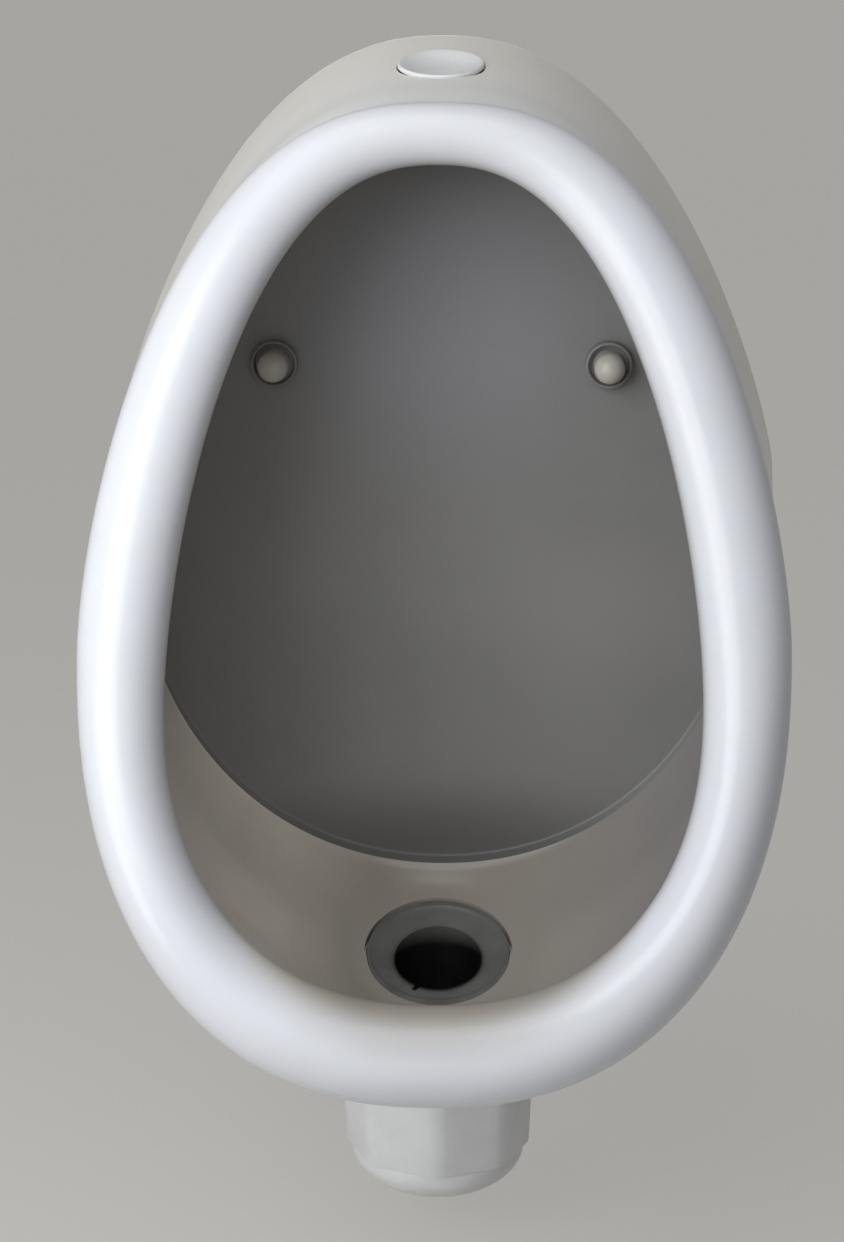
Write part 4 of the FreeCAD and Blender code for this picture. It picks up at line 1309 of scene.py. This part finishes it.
class URINAL_OT_stage(bpy.types.Operator):
    """Set the plain floor, the soft lamps, the even sky and the camera"""
    bl_idname = "urinal.stage"
    bl_label = "Stage"

    def execute(self, context):
        self.floor()
        for name, placing in LAMPS.items():
            self.lamp(name, *placing, getattr(studio(), name.lower() + "_watts"))
        self.sky()
        self.camera()
        context.scene.view_settings.view_transform = "Standard"
        return {"FINISHED"}

    def floor(self):
        deselect()
        low = CAD_BOX[0][2]
        bpy.ops.mesh.primitive_plane_add(size=FLOOR_SIZE, location=(0, 0, low - FLOOR_DROP))
        floor = settle(bpy.context.object)
        floor.name = "floor"
        made, tree, shader = plain_finish("Floor", Roughness=0.9, Base_Color=rgba(studio().floor))
        share = maths(tree, "MULTIPLY", self.seen(tree), FLOOR_GLOW)
        pale = add(tree, "Emission", {"Color": rgba(studio().floor)})
        self.shown(tree, share, shader, pale, "Material Output")
        floor.data.materials.append(made)

    def seen(self, tree):
        """Is 1 for rays that show the background itself, straight or mirrored, and 0 for its light."""
        path = add(tree, "LightPath").outputs
        share = maths(tree, "MAXIMUM", path["Is Camera Ray"], path["Is Glossy Ray"])
        return maths(tree, "MAXIMUM", share, path["Is Transmission Ray"])

    def shown(self, tree, share, light, pale, output):
        """Shows the pale shader in place of the other by this share."""
        both = add(tree, "MixShader", {0: share, 1: light.outputs[0], 2: pale.outputs[0]})
        tree.links.new(both.outputs[0], tree.nodes[output].inputs["Surface"])

    def lamp(self, name, left, up, away, width, watts):
        """A round soft lamp, placed by its angles to the left of the front and above the level."""
        left, up = math.radians(left), math.radians(up)
        towards = Vector((-math.sin(left) * math.cos(up), -math.cos(left) * math.cos(up), math.sin(up)))
        deselect()
        bpy.ops.object.light_add(type="AREA", location=LAMP_AIM + away * towards)
        lamp = bpy.context.object
        lamp.name = name
        lamp.data.shape = "DISK"
        lamp.data.size = width
        lamp.data.energy = watts
        looking(lamp, LAMP_AIM)

    def sky(self):
        world = bpy.data.worlds.new("Sky")
        world.use_nodes = True
        tree = world.node_tree
        light = tree.nodes["Background"]
        light.inputs["Color"].default_value = (1, 1, 1, 1)
        light.inputs["Strength"].default_value = studio().sky
        pale = add(tree, "Background", {"Color": rgba(studio().floor), "Strength": SKY_SHOWN})
        self.shown(tree, self.seen(tree), light, pale, "World Output")
        bpy.context.scene.world = world

    def camera(self):
        """Looks down at the bowl from the front, a little to the right of its middle."""
        away, tilt = studio().distance, studio().tilt
        deselect()
        bpy.ops.object.camera_add(location=(CAMERA_SIDE, CAMERA_AIM.y - away * math.cos(tilt),
                                            CAMERA_AIM.z + away * math.sin(tilt)))
        camera = bpy.context.object
        camera.name = "Camera"
        looking(camera, CAMERA_AIM)
        camera.data.lens = studio().lens
        camera.data.sensor_width = 36
        camera.data.sensor_fit = "AUTO"
        camera.data.clip_end = 100
        bpy.context.scene.camera = camera


# ---------------------------------------------------------------- panel and run
STEPS = ("bowl", "inlet", "fixings", "waste", "trap", "pipe", "seals", "stage")


class URINAL_PT_pieces(bpy.types.Panel):
    """Lists the pieces and their settings"""
    bl_label = "Wall hung urinal"
    bl_idname = "URINAL_PT_pieces"
    bl_space_type = "VIEW_3D"
    bl_region_type = "UI"
    bl_category = "Urinal"

    def draw(self, context):
        for step in STEPS:
            self.layout.operator("urinal." + step)
        for settings in (china(), fittings(), studio()):
            box = self.layout.box()
            for key in settings.__annotations__:
                box.prop(settings, key)


CLASSES = (ChinaSettings, FittingSettings, StudioSettings, URINAL_OT_bowl, URINAL_OT_inlet,
           URINAL_OT_fixings, URINAL_OT_waste, URINAL_OT_trap, URINAL_OT_pipe, URINAL_OT_seals,
           URINAL_OT_stage, URINAL_PT_pieces)


def register():
    for made in CLASSES:
        bpy.utils.register_class(made)
    bpy.types.Scene.urinal_china = bpy.props.PointerProperty(type=ChinaSettings)
    bpy.types.Scene.urinal_fittings = bpy.props.PointerProperty(type=FittingSettings)
    bpy.types.Scene.urinal_studio = bpy.props.PointerProperty(type=StudioSettings)


def unregister():
    for name in ("urinal_china", "urinal_fittings", "urinal_studio"):
        delattr(bpy.types.Scene, name)
    for made in reversed(CLASSES):
        bpy.utils.unregister_class(made)


def main():
    register()
    for step in STEPS:
        getattr(bpy.ops.urinal, step)()


if __name__ == "__main__":
    main()
